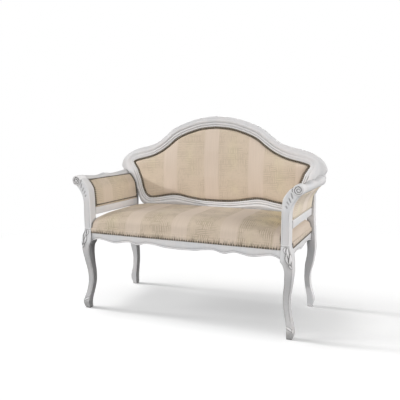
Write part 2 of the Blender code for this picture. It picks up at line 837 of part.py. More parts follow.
def arm_layer(side, name, near, far, crown, finish):
    """A layer of an arm's side between two places across it, each a function of a row."""
    rows = arm_lines()
    rings = []
    for share in arm_pad_shares:
        y = ARM_FRONT + share * (ARM_BACK - ARM_FRONT)
        puff = crown * (1 - abs(2 * share - 1) ** 6)
        ring = []
        for i, row in enumerate(rows):
            swell = puff * math.sin(math.pi * i / (len(rows) - 1))
            x, z = near(row, swell)
            ring.append((side * spread(x, z, share), y, z))
        for row in rows[::-1]:
            x, z = far(row, 0)
            ring.append((side * spread(x, z, share), y, z))
        rings.append(ring)
    if not crown:
        rings = [rings[0], rings[-1]]
    layer = lofted(name, rings, finish)
    envelope = arm_rail_rings(side, VOLUTE_RADIUS - ARM_ROLL + FIT_GAP)
    for point_front, point_back in zip(range(len(envelope[0])), range(len(envelope[-1]))):
        x, y, z = envelope[0][point_front]
        envelope[0][point_front] = (x, y - CUT_OVERRUN, z)
        x, y, z = envelope[-1][point_back]
        envelope[-1][point_back] = (x, y + CUT_OVERRUN, z)
    boolean(layer, lofted(name + "_cut", envelope, PAINT), "DIFFERENCE")
    return layer


def across_row(row, reach, from_inner):
    """A place on the way from a row's inner point to its outer one, by a distance from its middle or side."""
    inner, outer = row[:2], row[2:]
    out = (outer - inner) / np.linalg.norm(outer - inner)
    start = inner if from_inner else (inner + outer) / 2
    return start + out * reach


def arm_sides(side, hand):
    half = ARM_BOARD_WALL / 2
    arm_layer(
        side,
        "arm_board_" + hand,
        lambda row, swell: across_row(row, -half, False),
        lambda row, swell: across_row(row, half, False),
        0,
        BARE_WOOD,
    )
    arm_layer(
        side,
        "arm_pad_inner_" + hand,
        lambda row, swell: across_row(row, -swell, True),
        lambda row, swell: across_row(row, -half - FIT_GAP, False),
        ARM_PAD_CROWN,
        FABRIC,
    )
    arm_layer(
        side,
        "arm_pad_outer_" + hand,
        lambda row, swell: across_row(row[[2, 3, 0, 1]], -swell, True),
        lambda row, swell: across_row(row, half + FIT_GAP, False),
        ARM_PAD_CROWN,
        FABRIC,
    )


def arm_trims(side, hand):
    """Nailed gimp along the top of an arm's lower rail, on its inner and outer faces."""
    top = ARM_RAIL_TOP - ARM_RAIL_EDGE
    bottom = top - TRIM_WIDTH
    inner = side * (POST_INNER - FIT_GAP)
    outer = side * (POST_OUTER + FIT_GAP)
    wall = side * SEAT_TRIM_WALL
    name = "arm_trim_inner_" + hand
    cuboid(name, (inner - wall, ARM_FRONT, bottom), (inner, ARM_BACK, top), GIMP)
    name = "arm_trim_outer_" + hand
    cuboid(name, (outer, ARM_FRONT, bottom), (outer + wall, ARM_BACK, top), GIMP)


def arm_joints(side, hand, front_post, rear_post, top_rail, low_rail):
    z = VOLUTE_Z
    x = side * VOLUTE_X
    mortise_and_tenon(
        top_rail.name + "_front",
        top_rail,
        front_post,
        (x - TENON_WALL / 2, ARM_FRONT + CUT_OVERRUN, z - TENON_HEIGHT / 2),
        (x + TENON_WALL / 2, ARM_FRONT - TENON_LENGTH, z + TENON_HEIGHT / 2),
    )
    x = side * (VOLUTE_X + ARM_SPREAD - TENON_WALL / 2)
    y = back_face(z)
    mortise_and_tenon(
        top_rail.name + "_rear",
        top_rail,
        rear_post,
        (x - TENON_WALL / 2, y - CUT_OVERRUN, z - TENON_HEIGHT / 2),
        (x + TENON_WALL / 2, y + TENON_LENGTH, z + TENON_HEIGHT / 2),
    )
    x = side * SIDE_TENON_X
    z = (ARM_RAIL_BOTTOM + ARM_RAIL_TOP) / 2
    low = z - TENON_HEIGHT / 2
    high = z + TENON_HEIGHT / 2
    mortise_and_tenon(
        low_rail.name + "_front",
        low_rail,
        front_post,
        (x - TENON_WALL / 2, ARM_FRONT + CUT_OVERRUN, low),
        (x + TENON_WALL / 2, ARM_FRONT - TENON_LENGTH, high),
    )
    mortise_and_tenon(
        low_rail.name + "_rear",
        low_rail,
        rear_post,
        (x - TENON_WALL / 2, ARM_BACK - CUT_OVERRUN, low),
        (x + TENON_WALL / 2, ARM_BACK + TENON_LENGTH, high),
    )


def swelling(share, squareness):
    """How full a cushion is at a share of the way from its middle to its rim."""
    power, rounding = squareness
    return max(0.0, 1 - abs(share) ** power) ** rounding


def seat_pad():
    half_x = POST_OUTER + SEAT_TRIM_WALL
    front = RAIL_FRONT - SEAT_TRIM_WALL
    middle = (front + REAR_RAIL_BACK) / 2
    half_y = REAR_RAIL_BACK - middle
    post_x = POST_INNER - FIT_GAP
    stile_x = STILE_INNER - FIT_GAP
    post_y = POST_BACK + FIT_GAP
    stile_y = REAR_FRONT - FIT_GAP
    right = [share * half_x for share in seat_across_shares]
    right += [(right[-1] + post_x) / 2, post_x, stile_x, (stile_x + half_x) / 2, half_x]
    across = [-x for x in right[:0:-1]] + right
    along = [middle + share * half_y for share in seat_along_shares]
    along = [y for y in along if y < post_y - SEAT_PAD_EDGE or y > post_y + SEAT_PAD_EDGE]
    along = sorted([front, post_y, stile_y, REAR_RAIL_BACK, *along])

    def face(x, y):
        full = swelling(x / half_x, SEAT_SIDE_SQUARENESS)
        share = (y - middle) / half_y
        full *= swelling(share, SEAT_FRONT_SQUARENESS if share < 0 else SEAT_REAR_SQUARENESS)
        return (x, y, SEAT_PAD_BOTTOM + SEAT_PAD_EDGE + SEAT_CROWN * full)

    def back(x, y):
        if abs(x) > half_x - FIT_GAP:
            x = math.copysign(half_x - SEAT_TUCK, x)
        if y < front + FIT_GAP:
            y = front + SEAT_TUCK
        return (x, y, SEAT_PAD_BOTTOM)

    def keeps(x, y):
        clear_of_post = abs(x) < post_x or y > post_y
        return clear_of_post and (abs(x) < stile_x or y < stile_y)

    return layered("seat_pad", across, along, face, back, FABRIC, keeps)


def seat_webbing():
    half_x = POST_OUTER - SEAT_RAIL_WALL + WEB_LAP
    front = FRONT_RAIL_BACK - WEB_LAP
    rear = REAR_RAIL_FRONT + WEB_LAP
    reach = POST_INNER - WEB_LAP
    across = [-half_x, half_x]
    for i in range(WEBS_ALONG):
        centre = -reach + WEB_WIDTH / 2 + i * (2 * reach - WEB_WIDTH) / (WEBS_ALONG - 1)
        across += [centre - WEB_WIDTH / 2, centre + WEB_WIDTH / 2]
    across.sort()
    along = [front, rear]
    low, high = POST_BACK + WEB_LAP, REAR_FRONT - WEB_LAP
    for i in range(WEBS_ACROSS):
        centre = low + WEB_WIDTH / 2 + i * (high - low - WEB_WIDTH) / (WEBS_ACROSS - 1)
        along += [centre - WEB_WIDTH / 2, centre + WEB_WIDTH / 2]
    along.sort()
    level = SEAT_RAIL_TOP + FIT_GAP

    def keeps(x, y):
        column = sum(x > line for line in across) - 1
        row = sum(y > line for line in along) - 1
        return column % 2 == 1 or row % 2 == 1

    layered(
        "seat_webbing",
        across,
        along,
        lambda x, y: (x, y, level + WEB_WALL),
        lambda x, y: (x, y, level),
        JUTE,
        keeps,
    )


def seat_trims():
    """Nailed gimp that covers the edge of the seat's cloth on three rails."""
    top = SEAT_RAIL_TOP
    bottom = top - SEAT_TRIM_DROP
    reach = POST_INNER - FIT_GAP
    cuboid(
        "seat_trim_front",
        (-reach, RAIL_FRONT - SEAT_TRIM_WALL, bottom),
        (reach, RAIL_FRONT - FIT_GAP, top),
        GIMP,
    )
    for side, hand in ((1, "left"), (-1, "right")):
        near = side * (POST_OUTER + FIT_GAP)
        far = side * (POST_OUTER + SEAT_TRIM_WALL)
        low = POST_BACK + POST_EDGE
        high = REAR_FRONT - FIT_GAP
        cuboid("seat_trim_" + hand, (near, low, bottom), (far, high, top), GIMP)


def dust_cover():
    """A thin cloth tacked across the underside, cut round the front posts."""
    half_x = SIDE_INNER - FIT_GAP
    front = FRONT_RAIL_BACK + FIT_GAP
    rear = REAR_RAIL_FRONT - FIT_GAP
    post_x = POST_INNER - FIT_GAP
    post_y = POST_BACK + FIT_GAP
    outline = [
        (-half_x, rear),
        (-half_x, post_y),
        (-post_x, post_y),
        (-post_x, front),
        (post_x, front),
        (post_x, post_y),
        (half_x, post_y),
        (half_x, rear),
    ]
    level = RAIL_BOTTOM + DUST_COVER_RISE
    return prism("dust_cover", outline, level, level + DUST_COVER_WALL, CAMBRIC)


def back_trims():
    front = BAND_RELIEF - FIT_GAP - TRIM_WALL
    nail_loop("back_nail_trim", front, TRIM_WALL)
    rear = BACK_WALL - BAND_RELIEF + FIT_GAP
    nail_loop("rear_nail_trim", rear, TRIM_WALL)


def back_layers():
    board = BACK_BOARD_DEPTH
    behind = board + BACK_BOARD_WALL
    back_panel("back_board", board, BACK_BOARD_WALL, 0, (1.0,), BARE_WOOD)
    back_panel(
        "back_pad", board - FIT_GAP, -BACK_PAD_EDGE, -BACK_PAD_CROWN, ring_shares, FABRIC
    )
    back_panel(
        "back_cover", behind + FIT_GAP, BACK_COVER_EDGE, BACK_COVER_CROWN, cover_shares, FABRIC
    )


def build():
    front_rail = seat_rail_front()
    rear_rail = seat_rail_rear()
    crest = crest_rail()
    lower = back_lower_rail()
    for side, hand in ((1, "left"), (-1, "right")):
        front_post = front_leg(side, "front_leg_" + hand)
        rear_post = rear_leg(side, "rear_leg_" + hand)
        side_rail = seat_rail_side(side, "seat_rail_" + hand)
        top_rail = arm_top_rail(side, "arm_top_rail_" + hand)
        low_rail = arm_lower_rail(side, "arm_lower_rail_" + hand)

        mouth = (side * POST_INNER, (RAIL_FRONT + FRONT_RAIL_BACK) / 2)
        rail_joint("front_rail_" + hand, front_rail, front_post, mouth, (side, 0, 0))
        mouth = (side * REAR_INNER, (REAR_RAIL_FRONT + REAR_RAIL_BACK) / 2)
        rail_joint("rear_rail_" + hand, rear_rail, rear_post, mouth, (side, 0, 0))
        mouth = (side * SIDE_TENON_X, POST_BACK)
        rail_joint("side_front_" + hand, side_rail, front_post, mouth, (0, -1, 0))
        mouth = (side * SIDE_TENON_X, REAR_FRONT)
        rail_joint("side_rear_" + hand, side_rail, rear_post, mouth, (0, 1, 0))
        arm_joints(side, hand, front_post, rear_post, top_rail, low_rail)

        top_row = back_rows(stile_shares, side)[0]
        upright_joint("ear_" + hand, rear_post, crest, top_row, (top_row[0] + top_row[2]) / 2, 1)
        foot_row = back_rows(lower_rail_shares, side)[-1]
        foot_x = (foot_row[0] + foot_row[2]) / 2
        upright_joint("bend_" + hand, lower, rear_post, foot_row, foot_x, 1)

        name = "corner_block_front_" + hand
        corner = (POST_INNER, POST_BACK)
        block = corner_block(name, SIDE_INNER, FRONT_RAIL_BACK, corner, side, -1)
        corner_screws(
            "screw_front_" + hand, block, front_rail, side_rail, SIDE_INNER, FRONT_RAIL_BACK, side, -1
        )
        name = "corner_block_rear_" + hand
        block = corner_block(name, SIDE_INNER, REAR_RAIL_FRONT, None, side, 1)
        corner_screws(
            "screw_rear_" + hand, block, rear_rail, side_rail, SIDE_INNER, REAR_RAIL_FRONT, side, 1
        )
        arm_sides(side, hand)
        arm_trims(side, hand)
    seat_webbing()
    seat_pad()
    seat_trims()
    dust_cover()
    back_layers()
    back_trims()


build()
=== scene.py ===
"""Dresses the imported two-seater settee: carved painted wood, striped padded cloth and close nails."""

import random
from math import cos, pi, radians, sin, sqrt
import bmesh
import bpy
import numpy as np
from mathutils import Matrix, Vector


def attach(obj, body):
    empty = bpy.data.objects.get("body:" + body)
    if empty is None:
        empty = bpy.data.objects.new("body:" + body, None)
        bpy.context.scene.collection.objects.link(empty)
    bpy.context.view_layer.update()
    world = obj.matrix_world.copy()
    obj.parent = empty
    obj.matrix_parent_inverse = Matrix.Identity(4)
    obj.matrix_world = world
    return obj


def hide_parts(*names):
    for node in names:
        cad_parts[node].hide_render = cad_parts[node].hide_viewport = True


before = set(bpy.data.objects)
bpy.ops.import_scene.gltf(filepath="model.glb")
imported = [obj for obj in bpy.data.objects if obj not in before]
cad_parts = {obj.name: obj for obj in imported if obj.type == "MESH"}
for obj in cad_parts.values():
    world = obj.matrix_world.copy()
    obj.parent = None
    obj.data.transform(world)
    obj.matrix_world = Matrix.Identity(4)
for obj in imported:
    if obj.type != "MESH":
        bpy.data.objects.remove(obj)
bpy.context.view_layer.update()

scene = bpy.context.scene

# Sizes that follow the CAD, in metres
HALF_WIDTH = 0.607
SEAT_TOP = 0.424
BACK_HEIGHT = 0.584
POST_X = 0.5215
POST_WIDTH = 0.041
POST_DEPTH = 0.05
POST_FRONT = -0.248
POST_BACK = -0.198
POST_INNER = 0.501
POST_OUTER = 0.542
STEP_HEIGHT = 0.43
ANKLE_BACK = 0.016
SCROLL_WIDTH = 0.0525
ARM_HEIGHT = 0.257
VOLUTE = (0.574, 0.681)
VOLUTE_RADIUS = 0.025
STILE_X = 0.534
STILE_WIDTH = 0.04
STILE_DEPTH = 0.042
REAR_FRONT = 0.2063
REAR_TOE_BACK = 0.015
BACK_FRONT = 0.21232
BACK_LEAN = 0.02
BACK_WALL = 0.034
BAND = 0.056
CORNER = 0.7
RAIL_FRONT = -0.244
RAIL_WALL = 0.024
RAIL_BOTTOM = 0.369
APRON_HEIGHT = 0.013
NAIL_LINE = 0.4175
NAIL_PITCH = 0.0102
SEAT_NAILS = 79
SEAT_NAIL_PITCH = 2 * (POST_INNER - 0.0053) / SEAT_NAILS
NAIL_RADIUS = 0.0046
ARM_RAIL = (0.502, 0.541)
ARM_SPREAD = 0.008
ARM_WAVE = 0.01
ARM_INSET = 0.001
GAP = 0.0003
ARM_START = POST_BACK + GAP
ARM_END = REAR_FRONT - GAP
SIDES = ((1, "left"), (-1, "right"))


def smooth(knots, steps):
    """Points on a smooth curve through the knots."""
    knots = np.array(knots, float)
    padded = np.vstack((2 * knots[0] - knots[1], knots, 2 * knots[-1] - knots[-2]))
    t = (np.arange(steps) / steps)[:, None]
    line = []
    for a, b, c, d in zip(padded, padded[1:], padded[2:], padded[3:]):
        line.append(
            (2 * b + (c - a) * t + (2 * a - 5 * b + 4 * c - d) * t**2 + (3 * b - a - 3 * c + d) * t**3) / 2
        )
    return np.vstack(line + [knots[-1:]])


def lengths_along(points):
    """The length of a line up to each of its points."""
    return np.concatenate(([0], np.cumsum(np.linalg.norm(np.diff(points, axis=0), axis=1))))


def even_places(points, pitch, closed):
    """Places at an even pitch along a line."""
    points = np.array(points, float)
    if closed:
        points = np.vstack((points, points[:1]))
    run = lengths_along(points)
    count = max(2, round(run[-1] / pitch))
    at = np.linspace(0, run[-1], count if closed else count + 1, endpoint=not closed)
    return np.array([np.interp(at, run, line) for line in points.T]).T


def swell(value, middle, reach, power=2):
    """A bell curve: 1 in the middle, and fading out past its reach."""
    return np.exp(-(((value - middle) / reach) ** power))


def added(name, data):
    made = bpy.data.objects.new(name, data)
    scene.collection.objects.link(made)
    return made


def rework(data, change):
    """Opens a mesh for change(mesh) and closes it again."""
    mesh = bmesh.new()
    mesh.from_mesh(data)
    change(mesh)
    mesh.to_mesh(data)
    mesh.free()


def outward(mesh):
    bmesh.ops.recalc_face_normals(mesh, faces=mesh.faces)


def points_of(data):
    """A mesh's points, as rows of x, y and z."""
    points = np.zeros(len(data.vertices) * 3)
    data.vertices.foreach_get("co", points)
    return points.reshape(-1, 3)


def dressed(made, finish, sharp=None):
    """Gives an object its material and its place in the frame. Creases over sharp degrees stay sharp."""
    data = made.data
    data.shade_smooth()
    if sharp:
        data.set_sharp_from_angle(angle=radians(sharp))
    data.materials.clear()
    data.materials.append(finish)
    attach(made, "root")
    return made


def piece(name, points, faces, finish, dirt_and_shade=None, sharp=50):
    """An object of the settee, with how far dirt and painted shade darken each of its points."""
    data = bpy.data.meshes.new(name)
    data.from_pydata([tuple(p) for p in points], [], faces)
    rework(data, outward)
    if dirt_and_shade is not None:
        layer = data.attributes.new("dirt_and_shade", "FLOAT", "POINT")
        layer.data.foreach_set("value", np.array(dirt_and_shade, np.float32).ravel())
    return dressed(added(name, data), finish, sharp)


def skin_faces(rows, columns, looped=False):
    """Faces over a row of closed rings, which is capped at its ends unless it is looped."""
    faces = []
    for i in range(rows if looped else rows - 1):
        low, high = i * columns, (i + 1) % rows * columns
        for j in range(columns):
            k = (j + 1) % columns
            faces.append((low + j, low + k, high + k, high + j))
    if not looped:
        faces.append(tuple(range(columns)))
        faces.append(tuple(range((rows - 1) * columns, rows * columns)))
    return faces


def skin(name, rings, finish, looped=False, dirt_and_shade=None, sharp=50):
    """An object of the settee made over a row of closed rings."""
    rings = np.array(rings, float)
    faces = skin_faces(*rings.shape[:2], looped)
    return piece(name, rings.reshape(-1, 3), faces, finish, dirt_and_shade, sharp)


def carved(name, rings, dirt_and_shade=None, sharp=50):
    return skin(name, rings, WOOD, dirt_and_shade=dirt_and_shade, sharp=sharp)


# Outlines, as shares of the sizes above
FRONT_LEG = (
    (0.0, 0.35, 0.96, 0.44, 0.7), (0.034, 0.34, 1.11, 0.12, 0.68), (0.088, 0.33, 1.16, -0.12, 0.7),
    (0.151, 0.24, 1.02, 0.31, 0.8), (0.233, 0.04, 0.76, 0.75, 0.92), (0.349, -0.19, 0.55, 1.0, 1.0),
    (0.465, -0.23, 0.58, 0.94, 1.0), (0.593, -0.09, 0.77, 0.5, 1.0), (0.721, -0.05, 0.9, -0.12, 1.0),
    (0.8, -0.2, 0.9, -0.45, 1.0), (0.852, -0.5, 0.87, -0.625, 1.0), (0.93, -0.5, 0.76, -0.31, 1.0),
    (1.0, -0.5, 0.5, 0.0, 1.0),
)
SCROLL = (
    (-0.39, 0.29, 0.37, 0.295), (-0.41, 0.51, 0.34, 0.52), (-0.37, 0.69, 0.4, 0.654),
    (-0.32, 0.81, 0.54, 0.743), (-0.18, 0.88, 0.73, 0.81), (0.05, 0.95, 0.94, 0.868),
    (0.3, 1.008, 1.13, 0.905), (0.61, 1.045, 1.2, 0.925),
)
REAR_LEG = (
    (0.0, -0.06, 0.6, 0.91, 1.09), (0.042, -0.08, 0.73, 0.85, 1.09), (0.084, -0.09, 0.85, 0.7, 1.08),
    (0.13, -0.13, 0.82, 0.55, 1.04), (0.186, -0.23, 0.64, 0.38, 0.98), (0.256, -0.35, 0.41, 0.2, 0.92),
    (0.349, -0.49, 0.29, 0.15, 0.87), (0.453, -0.52, 0.31, 0.1, 0.87), (0.56, -0.46, 0.58, 0.05, 0.92),
    (0.667, -0.26, 0.75, 0.0, 0.97), (0.756, -0.25, 0.82, 0.0, 0.99), (0.844, -0.325, 0.78, 0.0, 1.0),
    (1.012, -0.325, 0.65, 0.0, 1.0), (1.128, -0.45, 0.55, 0.0, 1.0), (1.286, -0.5, 0.5, 0.0, 1.0),
    (1.363, -0.5, 0.5, 0.1, 1.0), (1.43, -0.46, 0.46, 0.6, 0.98),
)
CREST = (
    (0.0, 0.899, 0.0, 1.0), (0.14, 0.885, 0.152, 0.983), (0.273, 0.846, 0.294, 0.943),
    (0.384, 0.796, 0.42, 0.889), (0.468, 0.73, 0.509, 0.82), (0.554, 0.671, 0.588, 0.76),
    (0.661, 0.623, 0.686, 0.723), (0.764, 0.596, 0.79, 0.699), (0.831, 0.577, 0.884, 0.663),
    (0.856, 0.56, 0.967, 0.601), (0.835, 0.521, 1.0, 0.529), (0.813, 0.487, 0.984, 0.487),
)
STILE = (
    (0.813, 0.487, 0.984, 0.487), (0.802, 0.452, 0.99, 0.452), (0.787, 0.413, 0.97, 0.413),
    (0.773, 0.37, 0.936, 0.37), (0.764, 0.327, 0.914, 0.327), (0.753, 0.289, 0.903, 0.289),
)
LOWER_RAIL = (
    (0.0, 0.209, 0.0, 0.127), (0.132, 0.212, 0.132, 0.128), (0.248, 0.226, 0.248, 0.137),
    (0.387, 0.25, 0.397, 0.152), (0.483, 0.244, 0.496, 0.142), (0.579, 0.225, 0.582, 0.132),
    (0.668, 0.214, 0.664, 0.124), (0.707, 0.223, 0.744, 0.13), (0.736, 0.253, 0.798, 0.176),
    (0.753, 0.289, 0.842, 0.289),
)
FRONT_APRON = (
    (0.0, 0.0), (0.16, 0.23), (0.24, 0.69), (0.31, 1.0), (0.37, 1.0), (0.43, 0.31), (0.47, 0.15),
    (0.51, 0.54), (0.56, 0.92), (0.62, 0.69), (0.68, 0.2), (0.72, 0.08), (0.77, 0.2), (0.86, 0.85),
    (0.92, 1.08), (0.965, 0.6), (1.0, 0.0),
)
SIDE_APRON = (
    (0.0, 0.1), (0.09, 0.7), (0.2, 1.1), (0.32, 0.85), (0.42, 0.25), (0.5, 0.1), (0.58, 0.25),
    (0.68, 0.85), (0.8, 1.1), (0.91, 0.7), (1.0, 0.1),
)
ARM_TOP = (
    (0.0, 0.1), (0.14, 0.6), (0.29, 1.0), (0.4, 0.5), (0.44, 0.1), (0.5, 0.35), (0.63, 0.9), (0.78, 0.7),
    (0.93, 0.1), (1.0, 0.0),
)
# The moulding across a back rail, in metres: out from the seam, and proud of the face
MOULDING = (
    (0.0042, 0.0), (0.0065, 0.0016), (0.0095, 0.0026), (0.0118, 0.0022), (0.0136, 0.0006),
    (0.0156, 0.002), (0.019, 0.0038), (0.0225, 0.0038), (0.025, 0.002), (0.0266, 0.0012),
    (0.0285, 0.0024), (0.033, 0.0046),
)

# Paint: its colours, the colour of its dirt and painted shade, and how much darker the arm tops, the rail
# edges and the rear legs' inner faces are painted
PAINT_COOL = (0.655, 0.655, 0.665)
PAINT_WARM = (0.695, 0.675, 0.672)
PAINT_PALE = (0.76, 0.75, 0.745)
# the colour of dirt and of painted shade on the paint
PAINT_DIRT_AND_SHADE = (0.235, 0.23, 0.225)
ARM_INNER_DARKENING = 0.54
RAIL_EDGE_DARKENING = 0.33
REAR_LEG_INNER_SHADE = 1.25

# Cloth: its colours, sizes in metres, and shares of the stripes' repeat
SATIN = (0.645, 0.535, 0.44)
SATIN_DEEP = (0.615, 0.51, 0.415)
WOVEN = (0.62, 0.515, 0.405)
CREAM = (0.64, 0.55, 0.405)
# painted warm bounce light, in the shade towards one end and the back of the seat
WARM_BOUNCE = (0.88, 0.735, 0.45)
# the colour of the figure's dark threads, and of painted shade on the arms' edges
DARK_THREAD_AND_SHADE = (0.33, 0.262, 0.19)
# the colour of painted shade in the cloth's creases and nooks
CREASE_SHADE = (0.115, 0.088, 0.062)
STRIPE_REPEAT = 0.254
SATIN_SHARES = (0.148, 0.186)
CREAM_SHARES = (0.3, 0.5)
RIB_PITCH = 0.0095
BASKET = {
    "offset": 0.37,
    "offset_frequency": 2,
    "squash": 0.6,
    "squash_frequency": 3,
    "Color1": (0, 0, 0, 1),
    "Color2": (1, 1, 1, 1),
    "Mortar": (0.5, 0.5, 0.5, 1),
    "Scale": 1.0,
    "Mortar Size": 0.0014,
    "Mortar Smooth": 0.4,
    "Brick Width": 0.046,
    "Row Height": 0.03,
}
WARM_BOUNCE_ACROSS = (0.26, 0.44)
WARM_BOUNCE_BACK = (-0.235, -0.1)
TICK_RISE = (0.005, 0.012)
TICK_FADE = 0.004
STREAK_LOW = 0.008
STREAK_HIGH = 0.026
# reach of painted shade under an arm's top rail and behind its post
SHADE_BELOW_ARM = 0.034
SHADE_BEHIND_POST = (0.004, 0.024)


def nodes_of(name):
    """A new material, its node tree and its main shader."""
    made = bpy.data.materials.new(name)
    made.use_nodes = True
    return made, made.node_tree, made.node_tree.nodes["Principled BSDF"]


def node(tree, kind, **settings):
    """A new node, with values for its inputs by their names, and its other settings."""
    made = tree.nodes.new("ShaderNode" + kind)
    for key, value in settings.items():
        if key in made.inputs:
            made.inputs[key].default_value = value
        else:
            setattr(made, key, value)
    return made


def is_socket(value):
    return isinstance(value, bpy.types.NodeSocket)


def join(source, target):
    source.id_data.links.new(source, target)


def feed(sockets, values):
    """Gives each socket its value: another socket, a colour or a number."""
    for socket, value in zip(sockets, values):
        if is_socket(value):
            join(value, socket)
        elif isinstance(value, tuple):
            socket.default_value = (*value, 1.0)
        else:
            socket.default_value = value


def tree_of(*values):
    """The node tree that the sockets among the values belong to."""
    return next(value.id_data for value in values if is_socket(value))


def mixed(factor, first, second, blend="MIX"):
    """A colour mix of sockets or values."""
    made = node(tree_of(factor, first, second), "Mix", data_type="RGBA", blend_type=blend)
    feed((made.inputs[0], made.inputs[6], made.inputs[7]), (factor, first, second))
    return made.outputs[2]


def maths(operation, *values, clamp=False):
    """A sum of sockets or numbers."""
    made = node(tree_of(*values), "Math", operation=operation, use_clamp=clamp)
    feed(made.inputs, values)
    return made.outputs[0]


def product(first, second):
    return maths("MULTIPLY", first, second)


def ramp(value, low, high, start=0.0, end=1.0):
    """A smooth step from start to end, while the value goes from low to high."""
    made = node(value.id_data, "MapRange", interpolation_type="SMOOTHSTEP", clamp=True)
    feed(made.inputs, (value, low, high, start, end))
    return made.outputs[0]


def noise(place, scale, detail=3.0, roughness=0.5, stretch=(1, 1, 1)):
    spread = node(place.id_data, "Mapping", Scale=stretch)
    join(place, spread.inputs["Vector"])
    made = node(place.id_data, "TexNoise", Scale=scale, Detail=detail, Roughness=roughness)
    join(spread.outputs[0], made.inputs["Vector"])
    return made.outputs[0]


def painted_occlusion(tree, reach, low, high, most):
    """How deep a place lies among its neighbours within reach, from 0 to most: the strength of painted
    shade in nooks.
    """
    open_sky = node(tree, "AmbientOcclusion", samples=8, Distance=reach).outputs["AO"]
    return ramp(open_sky, low, high, most, 0.0)


def bumped(shader, height, strength, distance):
    bump = node(shader.id_data, "Bump", Strength=strength, Distance=distance)
    join(height, bump.inputs["Height"])
    join(bump.outputs[0], shader.inputs["Normal"])


def painted_wood():
    """Pale grey-white paint, brushed, grey with dirt in the carving, and darker with painted shade in its
    nooks and where each point's dirt and painted shade say.
    """
    made, tree, shader = nodes_of("painted_wood")
    place = node(tree, "TexCoord").outputs["Object"]
    cloudy = noise(place, 9.0, 4.0, 0.6)
    brushed = noise(place, 70.0, 3.0, 0.6, (1.0, 1.0, 0.15))
    base = mixed(ramp(cloudy, 0.35, 0.65), PAINT_COOL, PAINT_WARM)
    base = mixed(ramp(brushed, 0.45, 0.75, 0.0, 0.35), base, PAINT_PALE)
    dirt_and_shade = node(tree, "Attribute", attribute_name="dirt_and_shade").outputs["Fac"]
    # ambient occlusion paints shade in the nooks, added to the dirt and painted shade marked on each point
    painted_shade_and_dirt = maths("ADD", painted_occlusion(tree, 0.012, 0.45, 0.95, 0.55), product(dirt_and_shade, 0.75), clamp=True)
    blotch = ramp(noise(place, 90.0, 2.0), 0.3, 0.7, 0.84, 1.0)
    join(mixed(product(painted_shade_and_dirt, blotch), base, PAINT_DIRT_AND_SHADE), shader.inputs["Base Color"])
    join(ramp(cloudy, 0.3, 0.7, 0.42, 0.56), shader.inputs["Roughness"])
    shader.inputs["Specular IOR Level"].default_value = 0.35
    bumped(shader, noise(place, 240.0, 3.0, 0.6, (1.0, 1.0, 0.12)), 0.12, 0.0006)
    return made


def basket_weave(flat, u, v):
    """Blocks of cords that run across or along, as a figure, and the fine threads between them."""
    loose = product(noise(flat, 40.0, 2.0), 2.4)
    ribs = []
    for way in (v, u):
        turn = maths("MULTIPLY_ADD", way, 2 * pi / RIB_PITCH, loose)
        ribs.append(ramp(maths("SINE", turn), -0.1, 0.9))
    basket = node(flat.id_data, "TexBrick", **BASKET)
    join(flat, basket.inputs["Vector"])
    turned = ramp(basket.outputs["Color"], 0.4, 0.6)
    wefts = noise(flat, 1.0, 2.0, 0.5, (45.0, 420.0, 1.0))
    warps = noise(flat, 1.0, 2.0, 0.5, (420.0, 45.0, 1.0))
    figure = maths("MAXIMUM", mixed(turned, *ribs), product(basket.outputs["Fac"], 0.9))
    return figure, mixed(turned, wefts, warps)


def nail_crease_shade(colour, place, flat, u, z):
    """Painted shade in the crease over each nail of the seat, and streaks of painted shade along its lower
    edge.
    """
    turn = maths("MULTIPLY_ADD", u, 2 * pi / SEAT_NAIL_PITCH, pi * SEAT_NAILS)
    tick = ramp(maths("COSINE", turn), 0.1, 0.75)
    tick = product(tick, ramp(z, NAIL_LINE + TICK_RISE[0], NAIL_LINE + TICK_RISE[1], 1.0, 0.0))
    tick = product(tick, ramp(maths("ABSOLUTE", u), POST_INNER, POST_INNER + TICK_FADE, 1.0, 0.0))
    tick = product(tick, ramp(noise(flat, 55.0, 1.0), 0.4, 0.62, 0.08, 0.62))
    low = ramp(z, SEAT_TOP - STREAK_LOW, SEAT_TOP + STREAK_HIGH, 1.0, 0.0)
    pulled = ramp(noise(place, 1.0, 3.0, 0.6, (150.0, 150.0, 22.0)), 0.47, 0.62)
    streak = product(pulled, maths("POWER", low, 1.2))
    return mixed(product(streak, 0.65), mixed(tick, colour, CREASE_SHADE), CREASE_SHADE)


def arm_edge_shade(colour, flat, u, z):
    """Painted shade on the inside of an arm, under its top rail and behind its post."""
    under = VOLUTE[1] - VOLUTE_RADIUS
    near, far = SHADE_BEHIND_POST
    arm_shade = maths(
        "MAXIMUM",
        ramp(z, under - SHADE_BELOW_ARM, under, 0.0, 0.36),
        ramp(u, POST_BACK + near, POST_BACK + far, 0.55, 0.0),
    )
    return mixed(product(arm_shade, ramp(noise(flat, 60.0, 2.0), 0.35, 0.6, 0.55, 1.0)), colour, DARK_THREAD_AND_SHADE)


